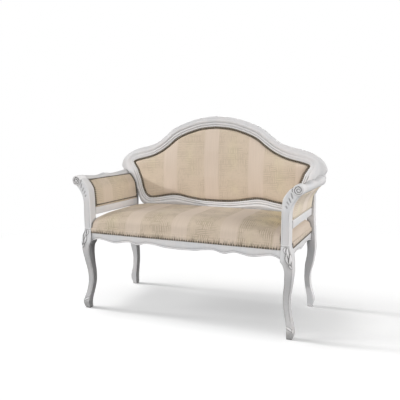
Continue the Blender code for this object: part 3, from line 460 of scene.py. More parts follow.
def striped_cloth(name, across, along, phase, tone=(1.0, 1.0, 1.0), on_seat=False, shaded_edges=False):
    """Narrow satin stripes between wider woven ones, with a plain basket figure in the woven stripes."""
    made, tree, shader = nodes_of(name)
    place = node(tree, "TexCoord").outputs["Object"]
    parts = node(tree, "SeparateXYZ")
    join(place, parts.inputs[0])
    u, y, z = parts.outputs[across], parts.outputs[1], parts.outputs[2]
    v = maths("ADD", z, y) if along == 1 else z
    flat = node(tree, "CombineXYZ")
    feed(flat.inputs, (u, v))
    flat = flat.outputs[0]
    turn = maths("MULTIPLY_ADD", maths("ADD", u, phase), 1 / STRIPE_REPEAT, 0.5)
    offset = maths("ABSOLUTE", maths("SUBTRACT", maths("FRACT", turn), 0.5))
    satin = ramp(offset, *SATIN_SHARES, 1.0, 0.0)
    cream = product(ramp(offset, *CREAM_SHARES), ramp(noise(flat, 7.0, 3.0), 0.4, 0.65))
    woven = mixed(cream, WOVEN, CREAM)
    if on_seat:
        # painted warm bounce light towards one end and the back of the seat
        end = product(ramp(u, *WARM_BOUNCE_ACROSS), ramp(y, *WARM_BOUNCE_BACK, 0.0, 0.8))
        woven = mixed(end, woven, WARM_BOUNCE)
    figure, threads = basket_weave(flat, u, v)
    darkening = ramp(noise(flat, 11.0, 3.0), 0.38, 0.6, 0.05, 0.72 if on_seat else 0.38)
    colour = mixed(product(figure, darkening), woven, DARK_THREAD_AND_SHADE)
    colour = mixed(ramp(threads, 0.52, 0.66, 0.0, 0.26), colour, DARK_THREAD_AND_SHADE)
    # painted sheen: streaks between a lighter and a deeper satin
    painted_sheen = ramp(noise(flat, 1.0, 1.0, 0.5, (160.0, 6.0, 1.0)), 0.3, 0.7)
    colour = mixed(satin, colour, mixed(painted_sheen, SATIN, SATIN_DEEP))
    fine = noise(place, 900.0, 1.0, 0.5)
    colour = mixed(ramp(fine, 0.35, 0.65, 0.0, 0.1), colour, DARK_THREAD_AND_SHADE)
    # painted shade in the cloth's nooks, from ambient occlusion
    colour = mixed(painted_occlusion(tree, 0.016, 0.4, 0.92, 0.62), colour, CREASE_SHADE)
    # painted shade in the seat's creases at its nails
    if on_seat:
        colour = nail_crease_shade(colour, place, flat, u, z)
    # painted shade on the inner arms' edges
    if shaded_edges:
        colour = arm_edge_shade(colour, flat, u, z)
    join(mixed(1.0, colour, tone, "MULTIPLY"), shader.inputs["Base Color"])
    join(ramp(satin, 0.0, 1.0, 0.8, 0.55), shader.inputs["Roughness"])
    shader.inputs["Sheen Weight"].default_value = 0.1
    shader.inputs["Sheen Roughness"].default_value = 0.4
    shader.inputs["Specular IOR Level"].default_value = 0.25
    weave = maths("MULTIPLY_ADD", fine, 0.5, product(threads, maths("SUBTRACT", 1.0, satin)))
    bumped(shader, weave, 0.3, 0.0006)
    return made


def plain_material(name, dark, light, roughness, metallic=0.0, scale=120.0, bump=0.2):
    """A material with a fine grain between two colours."""
    made, tree, shader = nodes_of(name)
    grain = noise(node(tree, "TexCoord").outputs["Object"], scale, 3.0)
    join(mixed(ramp(grain, 0.3, 0.7), dark, light), shader.inputs["Base Color"])
    join(ramp(grain, 0.3, 0.7, roughness - 0.08, roughness + 0.08), shader.inputs["Roughness"])
    shader.inputs["Metallic"].default_value = metallic
    bumped(shader, grain, bump, 0.0005)
    return made


WOOD = painted_wood()
# The seat's copy of the cloth is toned darker as painted shade, and the arms' copies lighter as painted
# light, the outer arms most.
CLOTH_SEAT = striped_cloth("striped_cloth_seat", 0, 1, 0.0, (0.955, 0.96, 0.96), on_seat=True)
CLOTH_BACK = striped_cloth("striped_cloth_back", 0, 2, 0.016)
CLOTH_INNER = striped_cloth("striped_cloth_arm_inner", 1, 2, 0.088, (1.05, 1.065, 1.05), shaded_edges=True)
CLOTH_OUTER = striped_cloth("striped_cloth_arm_outer", 1, 2, -0.02, (1.32, 1.38, 1.44))
NAILS = plain_material("aged_brass_nails", (0.055, 0.046, 0.032), (0.13, 0.11, 0.078), 0.5, 0.25, 300.0)
GIMP = plain_material("gimp_braid", (0.36, 0.3, 0.22), (0.52, 0.44, 0.34), 0.8, 0.0, 600.0, 0.5)
PALE_GIMP = plain_material("pale_gimp", (0.55, 0.47, 0.36), (0.66, 0.58, 0.46), 0.8, 0.0, 600.0, 0.5)
BEECH = plain_material("bare_beech", (0.42, 0.28, 0.16), (0.58, 0.42, 0.27), 0.6, 0.0, 60.0)
STEEL = plain_material("zinc_steel", (0.45, 0.45, 0.46), (0.6, 0.6, 0.62), 0.35, 1.0)
JUTE = plain_material("jute_webbing", (0.36, 0.27, 0.16), (0.48, 0.37, 0.23), 0.85, 0.0, 500.0, 0.6)
CAMBRIC = plain_material("black_cambric", (0.012, 0.012, 0.013), (0.03, 0.03, 0.032), 0.9, 0.0, 700.0, 0.4)


# Front legs and arm posts
def rounded_block(width, depth, edge, arc_points, side_points):
    """Places round a block with rounded edges, across and back, from its inner side round its front."""
    centres = ((edge, edge), (width - edge, edge), (width - edge, depth - edge), (edge, depth - edge))
    arcs = []
    for quarter, (x, y) in enumerate(centres):
        angles = np.radians(np.linspace(180, 270, arc_points) + 90 * quarter)
        arcs.append(np.column_stack((x + edge * np.cos(angles), y + edge * np.sin(angles))))
    places = []
    for arc, following, count in zip(arcs, arcs[1:] + arcs[:1], side_points):
        steps = np.arange(1, count)[:, None] / count
        places += [arc, arc[-1] + (following[0] - arc[-1]) * steps]
    return np.vstack(places)


def from_line(x, z, start, end):
    """How far places are from a short line, and the share of it that they lie beside."""
    (ax, az), (bx, bz) = start, end
    t = np.clip(((x - ax) * (bx - ax) + (z - az) * (bz - az)) / ((bx - ax) ** 2 + (bz - az) ** 2), 0, 1)
    return np.hypot(x - ax - t * (bx - ax), z - az - t * (bz - az)), t


def leaf(x, z, spine, widths, height):
    """A raised leaf along a bent spine, with a groove round it."""
    line = smooth(np.column_stack((spine, widths)), 5)
    far = np.inf
    for a, b in zip(line, line[1:]):
        gap, t = from_line(x, z, a[:2], b[:2])
        far = np.minimum(far, gap / (a[2] + t * (b[2] - a[2])))
    return height * (np.sqrt(np.clip(1 - far**2, 0, 1)) - 0.6 * swell(far, 1.25, 0.3))


def gouge(x, z, start, end, radius, depth):
    """A cut along a line, fading at both ends."""
    far, t = from_line(x, z, start, end)
    taper = radius * (0.5 + 0.5 * np.sin(np.pi * np.clip(t * 0.9 + 0.05, 0, 1)))
    return -depth * swell(far / taper, 0, 1)


# Leaves of the knee: spine across and up from the step line, half widths, height
KNEE_LEAVES = (
    (((0.001, -0.007), (-0.003, -0.017), (-0.001, -0.027)), (0.004, 0.0052, 0.003), 0.003),
    (((0.009, -0.008), (0.008, -0.026), (0.013, -0.046)), (0.0036, 0.0062, 0.0028), 0.0032),
    (((0.003, -0.034), (0.004, -0.054), (0.01, -0.074)), (0.0032, 0.0062, 0.003), 0.0032),
    (((0.02, -0.036), (0.0205, -0.056), (0.0145, -0.077)), (0.0034, 0.006, 0.003), 0.0032),
    (((0.012, -0.084), (0.016, -0.094)), (0.0052, 0.004), 0.003),
)
TOE_LEAVES = (
    (((-0.013, -0.377), (-0.002, -0.381), (0.009, -0.388)), (0.0032, 0.005, 0.0036), 0.0028),
    (((0.015, -0.388), (0.0165, -0.396)), (0.0044, 0.0036), 0.0024),
)
# Gouges below the volute, in the frame's x and z
GOUGES = (
    ((0.5465, 0.686), (0.5485, 0.6735)),
    ((0.5435, 0.665), (0.55, 0.643)),
    ((0.5335, 0.644), (0.5415, 0.627)),
    ((0.525, 0.628), (0.5335, 0.615)),
    ((0.5205, 0.609), (0.5265, 0.6)),
)
GOUGE_RADIUS = 0.0028
GOUGE_DEPTH = 0.003
KNEE_MIDDLE = (0.01, -0.05)
KNEE_REACH = (0.017, 0.05)
KNEE_SINK = 0.0007
STEP_RADIUS = 0.0019
STEP_DEPTH = 0.002
STEP_RIDGE = 0.001
RIDGE_RUN = 0.0055
RIDGE_REACH = 0.002
PANEL_INSET = 0.0062
PANEL_BEND = 0.006
PANEL_RUN = (0.008, 0.168)
PANEL_SINK = 0.0004
PANEL_FADE = 0.03
GROOVE_WIDTH = 0.0015
GROOVE_DEPTH = 0.001
LOWER_INSET = 0.0048
LOWER_RUN = (-0.095, -0.365)
CAVITY_DEPTH = 0.0034
# Roundness of a front leg's edges at runs from the step line
EDGE_RUNS = (-0.4, -0.34, 0.0, 0.2)
EDGE_RADII = (0.002, 0.003, 0.0036, 0.0044)
# Darkening of a front leg: the run below which it starts, the run over which it grows, and how much
LEG_DARKENING = ((-0.392, 0.008, 0.34), (-0.08, 0.1, 0.4), (0.0, 0.02, 0.16))


def leg_relief(x, run, half):
    """Carving on a front leg's face: x outwards from the middle, run up from the step line."""
    relief = 0 * x
    for spine, widths, height in KNEE_LEAVES + TOE_LEAVES:
        relief = relief + leaf(x, run, spine, widths, height)
    knee = swell(x, KNEE_MIDDLE[0], KNEE_REACH[0], 4) * swell(run, KNEE_MIDDLE[1], KNEE_REACH[1], 6)
    relief -= KNEE_SINK * knee
    relief += gouge(x, run, (-0.05, 0.001), (0.05, 0.001), STEP_RADIUS, STEP_DEPTH)
    relief += STEP_RIDGE * swell(run, RIDGE_RUN, RIDGE_REACH)
    low, high = PANEL_RUN
    qx = np.abs(x) - (half - PANEL_INSET) + PANEL_BEND
    qz = np.maximum(low + PANEL_BEND - run, 0)
    edge = np.hypot(np.maximum(qx, 0), qz) + np.minimum(qx, 0) * (qz <= 0) - PANEL_BEND
    fade = np.clip((high - run) / PANEL_FADE, 0, 1) * (run > 0.002)
    relief -= fade * (PANEL_SINK * (edge < 0) + GROOVE_DEPTH * swell(edge, 0, GROOVE_WIDTH))
    lower = np.clip((LOWER_RUN[0] - run) / PANEL_FADE, 0, 1) * np.clip((run - LOWER_RUN[1]) / 0.02, 0, 1)
    relief -= lower * 1.1 * GROOVE_DEPTH * swell(np.abs(x), half - LOWER_INSET, GROOVE_WIDTH)
    return relief, knee


def leg_darkening(run):
    """How dark a front leg is painted along its run: more below the knee, and most at the toe."""
    return sum(most * np.clip((start - run) / reach, 0, 1) for start, reach, most in LEG_DARKENING)


def scroll_rows():
    """The scroll's inner and outer edges, in the frame's x and z."""
    scale = np.array((SCROLL_WIDTH, ARM_HEIGHT, SCROLL_WIDTH, ARM_HEIGHT))
    return np.array((POST_X, SEAT_TOP, POST_X, SEAT_TOP)) + np.array(SCROLL) * scale


def front_leg(side, hand):
    rows = []
    for height, inner, outer, front, back in FRONT_LEG:
        z = height * STEP_HEIGHT
        across = (POST_X + inner * POST_WIDTH, z, POST_X + outer * POST_WIDTH, z)
        rows.append((*across, POST_FRONT + front * ANKLE_BACK, POST_FRONT + back * POST_DEPTH))
    rows += [(*row, POST_FRONT, POST_BACK) for row in scroll_rows()]
    rows = smooth(rows, 24)
    rows[:, 0] = np.maximum(rows[:, 0], POST_INNER)
    rows[:, 5] = np.minimum(rows[:, 5], POST_BACK)
    inner, outer, front = rows[:, 0:2], rows[:, 2:4], rows[:, 4]
    middle = (inner + outer) / 2
    run = lengths_along(middle)
    run -= np.interp(STEP_HEIGHT, middle[:, 1], run)
    width = np.linalg.norm(outer - inner, axis=1)
    along = (outer - inner) / width[:, None]
    edges = np.interp(run, EDGE_RUNS, EDGE_RADII)
    blocks = zip(width, rows[:, 5] - front, edges)
    places = np.array([rounded_block(w, d, e, 6, (36, 8, 8, 8)) for w, d, e in blocks])
    x = places[:, :, 0] - width[:, None] / 2
    facing = np.clip(1 - places[:, :, 1] / edges[:, None], 0, 1) ** 1.5
    flat = inner[:, None] + places[:, :, :1] * along[:, None]
    relief, knee = leg_relief(x, run[:, None] + 0 * x, width[:, None] / 2)
    for start, end in GOUGES:
        relief += gouge(flat[:, :, 0], flat[:, :, 1], start, end, GOUGE_RADIUS, GOUGE_DEPTH)
    relief *= facing
    y = front[:, None] + places[:, :, 1] - relief
    rings = np.stack((side * flat[:, :, 0], y, flat[:, :, 1]), axis=2)
    dirt_and_shade = -relief / CAVITY_DEPTH + 0.34 * knee * facing + leg_darkening(run)[:, None]
    carved("carved_leg_front_" + hand, rings, np.clip(dirt_and_shade, 0, 1))


SPIRAL_PITCH = 0.36
SPIRAL_START = 0.12
SPIRAL_FADE = (0.1, 0.2, 0.74, 0.8)
SPIRAL_WIDTH = 0.085
RIM_SHARE = 0.88
RIM_HEIGHT = 0.0022
SPIRAL_DEPTH = 0.0034
VOLUTE_RISE = 0.0015
REAR_EDGE = 0.0045
INNER_FACE = 0.001


def volute(side, hand):
    """The scroll's end: a rim, a spiral groove and an eye. Radii are shares of the volute's."""
    rings, dirt_and_shade = [], []
    turns = np.linspace(0, 2 * pi, 96, endpoint=False)

    def add_ring(share, y, dirt):
        x = VOLUTE[0] + share * VOLUTE_RADIUS * np.cos(turns)
        z = VOLUTE[1] + share * VOLUTE_RADIUS * np.sin(turns)
        rings.append(np.column_stack((side * x, y + 0 * turns, z)))
        dirt_and_shade.append(dirt + 0 * turns)

    add_ring(1.0, POST_BACK, 0)
    for share in np.concatenate((np.linspace(1.0, 0.9, 5), np.linspace(0.88, 0.04, 60))):
        rim = RIM_HEIGHT * sqrt(max(0, 1 - max(0, (share - RIM_SHARE) / (1 - RIM_SHARE)) ** 2))
        phase = (share - SPIRAL_START - SPIRAL_PITCH * turns / (2 * pi)) / SPIRAL_PITCH
        near = np.abs(phase - np.round(phase)) * SPIRAL_PITCH
        groove = np.interp(share, SPIRAL_FADE, (0.0, 1.0, 1.0, 0.0)) * swell(near, 0, SPIRAL_WIDTH)
        add_ring(share, POST_FRONT - VOLUTE_RISE - rim + SPIRAL_DEPTH * groove, 0.75 * groove)
    carved("carved_volute_" + hand, rings, dirt_and_shade)


def rear_leg(side, hand):
    rows = []
    for height, inner, outer, front, back in REAR_LEG:
        across = (STILE_X + inner * STILE_WIDTH, STILE_X + outer * STILE_WIDTH)
        deep = (REAR_FRONT + front * REAR_TOE_BACK, REAR_FRONT + back * STILE_DEPTH)
        rows.append((height * STEP_HEIGHT, *across, *deep))
    rings, dirt_and_shade = [], []
    for z, inner, outer, front, back in smooth(rows, 8):
        places = rounded_block(outer - inner, back - front, REAR_EDGE, 6, (10, 8, 8, 8))
        # painted shade on each rear leg's inner face below the seat rail
        dirt_and_shade.append(REAR_LEG_INNER_SHADE * (places[:, 0] < INNER_FACE) * (z < RAIL_BOTTOM))
        x = side * (inner + places[:, 0])
        rings.append(np.column_stack((x, front + places[:, 1], z + 0 * x)))
    carved("shaped_leg_rear_" + hand, rings, dirt_and_shade)


# Back frame
def back_face(z):
    return BACK_FRONT + BACK_LEAN * (z - SEAT_TOP)


def back_rows(shares, steps):
    scale = np.array((HALF_WIDTH, BACK_HEIGHT, HALF_WIDTH, BACK_HEIGHT))
    return smooth(np.array(shares) * scale + np.array((0, SEAT_TOP, 0, SEAT_TOP)), steps)


FLIP = np.array((-1, 1, -1, 1))
# Level of the wood under the ribs: out from the seam, and proud of the face
RIB_BASE = ((0.0042, 0.0), (0.012, 0.003), (0.033, 0.0046))
# How crisp the ribs are, by the place across and by the height
CRISP_ACROSS = ((0.33, 1.0), (0.47, 0.35))
CRISP_UP = ((0.6, 1.0), (0.7, 0.35))
RAIL_EDGE = 0.004
RAIL_BEND = 0.005
# The tongue of a back rail, which runs on behind the seam
TONGUE = ((0.0045, -BACK_WALL), (0.0041, -0.028), (-0.0038, -0.028), (-0.0038, -0.006), (0.0041, -0.006))


def whole(rows):
    """Half an outline with its mirror image before it."""
    return np.vstack((rows[:0:-1] * FLIP, rows))


def moulded(row):
    """The section of a back rail at one place, and how dark each of its points is painted: dirt in the
    grooves, and darker towards the outer edge.
    """
    seam, edge = row[:2], row[2:]
    width = np.linalg.norm(edge - seam)
    out = (edge - seam) / width
    squeeze = min(1.0, width / BAND)
    crisp = np.interp(abs(seam[0]), *zip(*CRISP_ACROSS)) if seam[1] > CORNER else 1.0
    crisp = max(crisp, np.interp(seam[1], *zip(*CRISP_UP)))
    line = smooth([(d * squeeze, h) for d, h in MOULDING], 4)
    level = np.interp(line[:, 0] / squeeze, *zip(*RIB_BASE))
    line[:, 1] = level + (line[:, 1] - level) * crisp
    dirt_and_shade = np.interp(level - line[:, 1], (0.0004, 0.0022), (0.0, 0.45))
    start = line[-1][0]
    t = np.linspace(0, 1, 15)[1:]
    crown = RIB_BASE[-1][1] + 0.0014 * np.sin(np.pi * np.clip(t * 1.7, 0, 1)) - 0.0052 * t**2.4
    crown -= 0.0009 * crisp * swell(t, 0.36, 0.07)
    band = np.column_stack((start + (width - RAIL_EDGE - start) * t, crown))
    turns = np.radians(np.linspace(25, 90, 4))
    corner = np.column_stack((np.sin(turns) * RAIL_EDGE, (np.cos(turns) - 1) * RAIL_BEND))
    corner += (width - RAIL_EDGE, crown[-1])
    back = ((width, RAIL_EDGE - BACK_WALL), (width - RAIL_EDGE, -BACK_WALL))
    places = np.vstack((line, band, corner, back, TONGUE))
    # painted darker towards the rail's outer edge
    outer = RAIL_EDGE_DARKENING * np.clip((places[len(dirt_and_shade):, 0] / width - 0.58) / 0.2, 0, 1)
    flat = seam + places[:, :1] * out
    y = back_face(flat[:, 1]) - places[:, 1]
    return np.column_stack((flat[:, 0], y, flat[:, 1])), np.concatenate((dirt_and_shade, outer))


def moulded_rail(name, rows):
    rings, dirt_and_shade = zip(*[moulded(row) for row in rows])
    carved(name, rings, dirt_and_shade, 40)


def back_frame():
    """The rails and stiles of the back. Gives the outline of the seam, and of the wood's edge beside it."""
    crest = whole(back_rows(CREST, 8))
    low = whole(back_rows(LOWER_RAIL, 6))
    stile = back_rows(STILE, 4)
    moulded_rail("moulded_crest", crest)
    moulded_rail("moulded_lower_rail", low)
    moulded_rail("moulded_stile_left", stile)
    moulded_rail("moulded_stile_right", stile * FLIP)
    return np.vstack((crest, stile[1:], low[-2::-1], (stile * FLIP)[-2:0:-1]))


def inward(loop, reach):
    """The seam's line, moved by a distance away from the wood."""
    out = loop[:, 2:] - loop[:, :2]
    return loop[:, :2] - out / np.linalg.norm(out, axis=1)[:, None] * reach


# Nails: rings of a head, as shares of its radius and heights in metres
HEAD_RINGS = ((1.0, -0.001), (1.0, 0.0004), (0.8, 0.0022), (0.45, 0.0034))
HEAD_TOP = 0.0038
HEAD_SIDES = 9
TOP_POINT = HEAD_SIDES * len(HEAD_RINGS)
HEAD_SKIN = skin_faces(len(HEAD_RINGS), HEAD_SIDES)
TOP_RING = HEAD_SKIN[-1]
HEAD_CAP = [(a, b, TOP_POINT) for a, b in zip(TOP_RING, TOP_RING[1:] + TOP_RING[:1])]
HEAD_FACES = HEAD_SKIN[:-2] + HEAD_CAP + HEAD_SKIN[-2:-1]


def nail_rows(name, rows, pitch=NAIL_PITCH):
    """Close domed nails. A row is a line, the way that its heads face, and whether it is closed."""
    points, faces = [], []
    chance = random.Random(len(name))
    for line, facing, closed in rows:
        way = Vector(facing).normalized()
        side = way.orthogonal().normalized()
        up = way.cross(side)
        angles = [2 * pi * turn / HEAD_SIDES for turn in range(HEAD_SIDES)]
        spokes = [side * cos(angle) + up * sin(angle) for angle in angles]
        for place in even_places(line, pitch, closed):
            place = Vector(place)
            radius = NAIL_RADIUS * chance.uniform(0.92, 1.05)
            sink = chance.uniform(-0.0003, 0.0002)
            first = len(points)
            for spread, lift in HEAD_RINGS:
                points += [place + spoke * radius * spread + way * (lift + sink) for spoke in spokes]
            points.append(place + way * (HEAD_TOP + sink))
            faces += [tuple(first + corner for corner in face) for face in HEAD_FACES]
    return piece(name, points, faces, NAILS, sharp=60)


# Section of gimp, as shares of half its width and of its thickness
GIMP_SECTION = ((-1, 0), (-1, 0.6), (-0.7, 1), (0.7, 1), (1, 0.6), (1, 0))


def strip(name, line, normal, half, wall, finish, closed=False):
    """A flat band of gimp along a line in space."""
    rings = []
    last = len(line) - 1
    for i, place in enumerate(line):
        ahead = line[(i + 1) % len(line)] if closed or i < last else place
        behind = line[i - 1] if closed or i > 0 else place
        side = np.cross(np.array(ahead) - np.array(behind), normal)
        side = side / np.linalg.norm(side)
        up = np.array(normal, float)
        rings.append([np.array(place) + side * half * s + up * wall * h for s, h in GIMP_SECTION])
    return skin(name, rings, finish, looped=closed)


# Seat rails
BEAD = 0.006
BEAD_DIRT = 0.7


def apron(name, profile, place):
    """A rail with a shaped and beaded lower edge. place(along, depth, z) gives a point."""
    rings, dirt_and_shade = [], []
    for along, low in profile:
        bead_top = low + BEAD
        face = [(0.0, SEAT_TOP + (bead_top + 0.004 - SEAT_TOP) * t) for t in np.linspace(0, 1, 5)]
        face += [(0.001, bead_top + 0.0028), (0.001, bead_top + 0.0014)]
        for turn in np.linspace(0, 1, 7):
            depth = 0.0002 - 0.0016 * sin(pi * turn) + 0.0006 * turn
            face.append((depth, low + BEAD / 2 + BEAD / 2 * cos(pi * turn)))
        face += [(RAIL_WALL - 0.002, low), (RAIL_WALL, low + 0.002), (RAIL_WALL, SEAT_TOP)]
        rings.append([place(along, depth, z) for depth, z in face])
        dirt_and_shade.append([BEAD_DIRT if 5 <= i < 7 else 0 for i in range(len(face))])
    carved(name, rings, dirt_and_shade)


def seat_frame():
    reach = POST_INNER - GAP
    half = smooth(np.array(FRONT_APRON) * (reach, APRON_HEIGHT) + (0, RAIL_BOTTOM), 8)
    profile = np.vstack((half[:0:-1] * FLIP[:2], half))
    apron("carved_apron_front", profile, lambda a, d, z: (a, RAIL_FRONT + d, z))
    knots = np.array(SIDE_APRON) * (ARM_END - ARM_START, APRON_HEIGHT) + (ARM_START, RAIL_BOTTOM)
    profile = smooth(knots, 6)
    for side, hand in SIDES:
        apron("carved_apron_" + hand, profile, lambda a, d, z: (side * (POST_OUTER - d), a, z))


# Arms
RAIL_ROUND = 0.005
PAD_RISE = 0.0065
PAD_SINK = 0.001
PAD_WALL = 0.014
TRIM_INSET = 0.004
TRIM_LIFT = 0.0005
ARM_GIMP_HALF = 0.004
ARM_GIMP_WALL = 0.0018


def arm_top(side, hand):
    rings = []
    turns = np.linspace(0, 2 * pi, 40, endpoint=False)
    radius = VOLUTE_RADIUS - ARM_INSET
    z = VOLUTE[1] + radius * np.sin(turns)
    reach = back_face(z) - GAP - ARM_START
    for share, fall in smooth(ARM_TOP, 8):
        x = VOLUTE[0] + ARM_SPREAD * share + radius * np.cos(turns)
        y = ARM_START + share * reach
        rings.append(np.column_stack((side * x, y, z - fall * ARM_WAVE * np.clip(np.sin(turns), 0, 1))))
    # the top rail is painted darker on its inner side
    darkening = ARM_INNER_DARKENING * np.interp(np.cos(turns), (-0.2, 0.7), (1.0, 0.2))
    carved("wavy_arm_top_" + hand, rings, [darkening] * len(rings))


def arm_low(side, hand):
    low, high = ARM_RAIL
    outline = rounded_block(POST_OUTER - POST_INNER, high - low, RAIL_ROUND, 5, (1, 1, 1, 1))
    outline += (POST_INNER, low)
    rings = []
    for y in np.linspace(ARM_START, ARM_END, 12):
        rings.append([(side * x, y, z) for x, z in outline])
    carved("rounded_arm_rail_" + hand, rings)


def arm_line(from_inner):
    """A side of the arm between its rails, as (x, z) points with the way out of each."""
    rows = scroll_rows()[1:-1]
    rows[0, 1::2] = ARM_RAIL[1]
    rows = smooth(rows, 6)
    near, far = (rows[:, :2], rows[:, 2:]) if from_inner else (rows[:, 2:], rows[:, :2])
    out = near - far
    out = out / np.linalg.norm(out, axis=1)[:, None]
    clear = np.hypot(near[:, 0] - VOLUTE[0], near[:, 1] - VOLUTE[1]) > VOLUTE_RADIUS - 0.003
    return near[clear], out[clear]


def arm_lean(z, share):
    """How far the arm leans outwards, at a height and at a share of its length."""
    return np.clip((z - ARM_RAIL[1]) / (VOLUTE[1] - ARM_RAIL[1]), 0, 1) * ARM_SPREAD * share


def arm_pad(side, hand, word, cloth):
    line, out = arm_line(word == "inner")
    height = np.linspace(0, 1, len(line))
    rings = []
    for share in np.linspace(0, 1, 40):
        crown = (1 - abs(2 * share - 1) ** 7) ** 0.6
        puff = PAD_RISE * crown * (1 - np.abs(2 * height - 1) ** 5) ** 0.6 - PAD_SINK
        lean = arm_lean(line[:, 1], share)
        layers = []
        for places in (line + out * puff[:, None], line - out * PAD_WALL):
            y = ARM_START + share * (ARM_END - ARM_START) + 0 * lean
            layers.append(np.column_stack((side * (places[:, 0] + lean), y, places[:, 1])))
        rings.append(np.vstack((layers[0], layers[1][::-1])))
    return skin("padded_arm_" + word + "_" + hand, rings, cloth, sharp=60)


def arm_edges(side, hand):
    """Nails along the inner pad's edges, and pale gimp along the outer pad's lower edge."""
    start, end = POST_BACK + TRIM_INSET, REAR_FRONT - TRIM_INSET
    shares = np.linspace(0, 1, 24)

    def at(i, share):
        x, z = line[i] + out[i] * TRIM_LIFT
        return (side * (x + arm_lean(line[i, 1], share)), start + share * (end - start), z)

    def way(i):
        return (side * out[i][0], 0, out[i][1])

    line, out = arm_line(True)
    low, high = 1, len(line) - 2
    rows = [([at(i, share) for share in shares], way(i), False) for i in (low, high)]
    for share in (0, 1):
        rows.append(([at(i, share) for i in range(low, high + 1)], way((low + high) // 2), False))
    nail_rows("arm_nails_inner_" + hand, rows)
    line, out = arm_line(False)
    path = [at(low, share) for share in shares]
    strip("arm_gimp_outer_" + hand, path, way(low), ARM_GIMP_HALF, ARM_GIMP_WALL, PALE_GIMP)


# Cushions
SEAT_HALF = POST_OUTER + 0.003
SEAT_FRONT = RAIL_FRONT - 0.003
SEAT_REAR = 0.2463
SEAT_BASE = SEAT_TOP + 0.0026
SEAT_EDGE = 0.01
SEAT_CROWN = 0.088
FINER_FROM = 0.44
CREASE_BAND = 0.02
RIM_GAP = 0.0041
HELD_RIM = 0.01
BOARD = 0.014
COVER_DEPTH = 0.0203
BACK_NAIL_DEPTH = 0.0016
BACK_GIMP_HALF = 0.0037
# The depth and the thickness of the gimp on the back
FRONT_GIMP = (0.006, 0.0046)
REAR_GIMP = (0.0284, 0.0048)
# How far the back's layers stand behind their depth at the rim, and how much more in the middle
BACK_PAD_RISE = (-0.009, -0.026)
BACK_COVER_RISE = (0.0095, 0.003)
VOXEL = 0.0055
SWELLING = 0.004
SIM_FRAMES = 20
SIM_SETTINGS = {
    "vertex_group_mass": "pinned",
    "quality": 5,
    "mass": 0.3,
    "tension_stiffness": 12,
    "compression_stiffness": 12,
    "shear_stiffness": 6,
    "bending_stiffness": 0.6,
    "use_pressure": True,
}


def fullness(share, power, rounding):
    return np.clip(1 - np.abs(share) ** power, 0, 1) ** rounding


def seat_height(x, y):
    """The cushion's top: fuller in the middle, and rounder at its front than at its back."""
    share = (2 * y - SEAT_FRONT - SEAT_REAR) / (SEAT_REAR - SEAT_FRONT)
    power, rounding = (6, 0.35) if share < 0 else (5, 0.52)
    back = (share + 1) / 2
    full = fullness(x / SEAT_HALF, 4.4 + 1.6 * back, 0.41 - 0.06 * back) * fullness(share, power, rounding)
    return SEAT_BASE + SEAT_EDGE + SEAT_CROWN * full


def seat_form():
    """The seat cushion's closed shape, cut round the posts and the stiles."""
    post_x, stile_x = POST_INNER - GAP, STILE_X - STILE_WIDTH / 2 - GAP
    right = [*np.linspace(0, FINER_FROM, 34), *np.linspace(FINER_FROM, post_x, 8)[1:]]
    right += [stile_x, *np.linspace(stile_x, SEAT_HALF, 7)[1:]]
    across = [-x for x in right[:0:-1]] + right
    along = [*np.linspace(SEAT_FRONT, ARM_START, 9), *np.linspace(ARM_START, ARM_END, 30)[1:]]
    along += [*np.linspace(ARM_END, SEAT_REAR, 6)[1:]]
    mesh = bmesh.new()
    made = {}

    def corner(i, j, is_top):
        if (i, j, is_top) not in made:
            x, y = across[i], along[j]
            made[i, j, is_top] = mesh.verts.new((x, y, seat_height(x, y) if is_top else SEAT_BASE))
        return made[i, j, is_top]

    cells = set()
    for i in range(len(across) - 1):
        for j in range(len(along) - 1):
            x, y = abs(across[i] + across[i + 1]) / 2, (along[j] + along[j + 1]) / 2
            if (x < post_x or y > ARM_START) and (x < stile_x or y < ARM_END):
                cells.add((i, j))
    for i, j in cells:
        loop = ((i, j), (i + 1, j), (i + 1, j + 1), (i, j + 1))
        mesh.faces.new([corner(*at, True) for at in loop])
        mesh.faces.new([corner(*at, False) for at in reversed(loop)])
        beside = ((i, j - 1), (i + 1, j), (i, j + 1), (i - 1, j))
        for a, b, beyond in zip(loop, loop[1:] + loop[:1], beside):
            if beyond not in cells:
                mesh.faces.new((corner(*a, True), corner(*a, False), corner(*b, False), corner(*b, True)))
    outward(mesh)
    data = bpy.data.meshes.new("seat_form")
    mesh.to_mesh(data)
    mesh.free()
    return data


def back_form(loop, depth, rise, shares):
    """A closed layer of the back inside the seam."""
    edge, crown = rise
    middle = np.array((0, SEAT_TOP + BACK_HEIGHT / 2))
    outline = inward(loop, RIM_GAP)
    rings = []
    for k, share in enumerate(shares):
        places = middle + (outline - middle) * share
        y = back_face(places[:, 1]) + depth + (edge + crown * fullness(share, 4, 0.55) if k else 0)
        rings.append(np.column_stack((places[:, 0], y, places[:, 1])))
    points = [tuple(point) for ring in rings for point in ring]
    data = bpy.data.meshes.new("back_form")
    data.from_pydata(points, [], skin_faces(len(rings), len(outline)))

    def close(mesh):
        outward(mesh)
        bmesh.ops.triangulate(mesh, faces=[face for face in mesh.faces if len(face.verts) > 4])

    rework(data, close)
    return data


AXES = ("use_axis_x", "use_axis_y", "use_axis_z")


def soften(mesh):
    for _ in range(3):
        bmesh.ops.smooth_vert(mesh, verts=mesh.verts, factor=0.5, **dict.fromkeys(AXES, True))


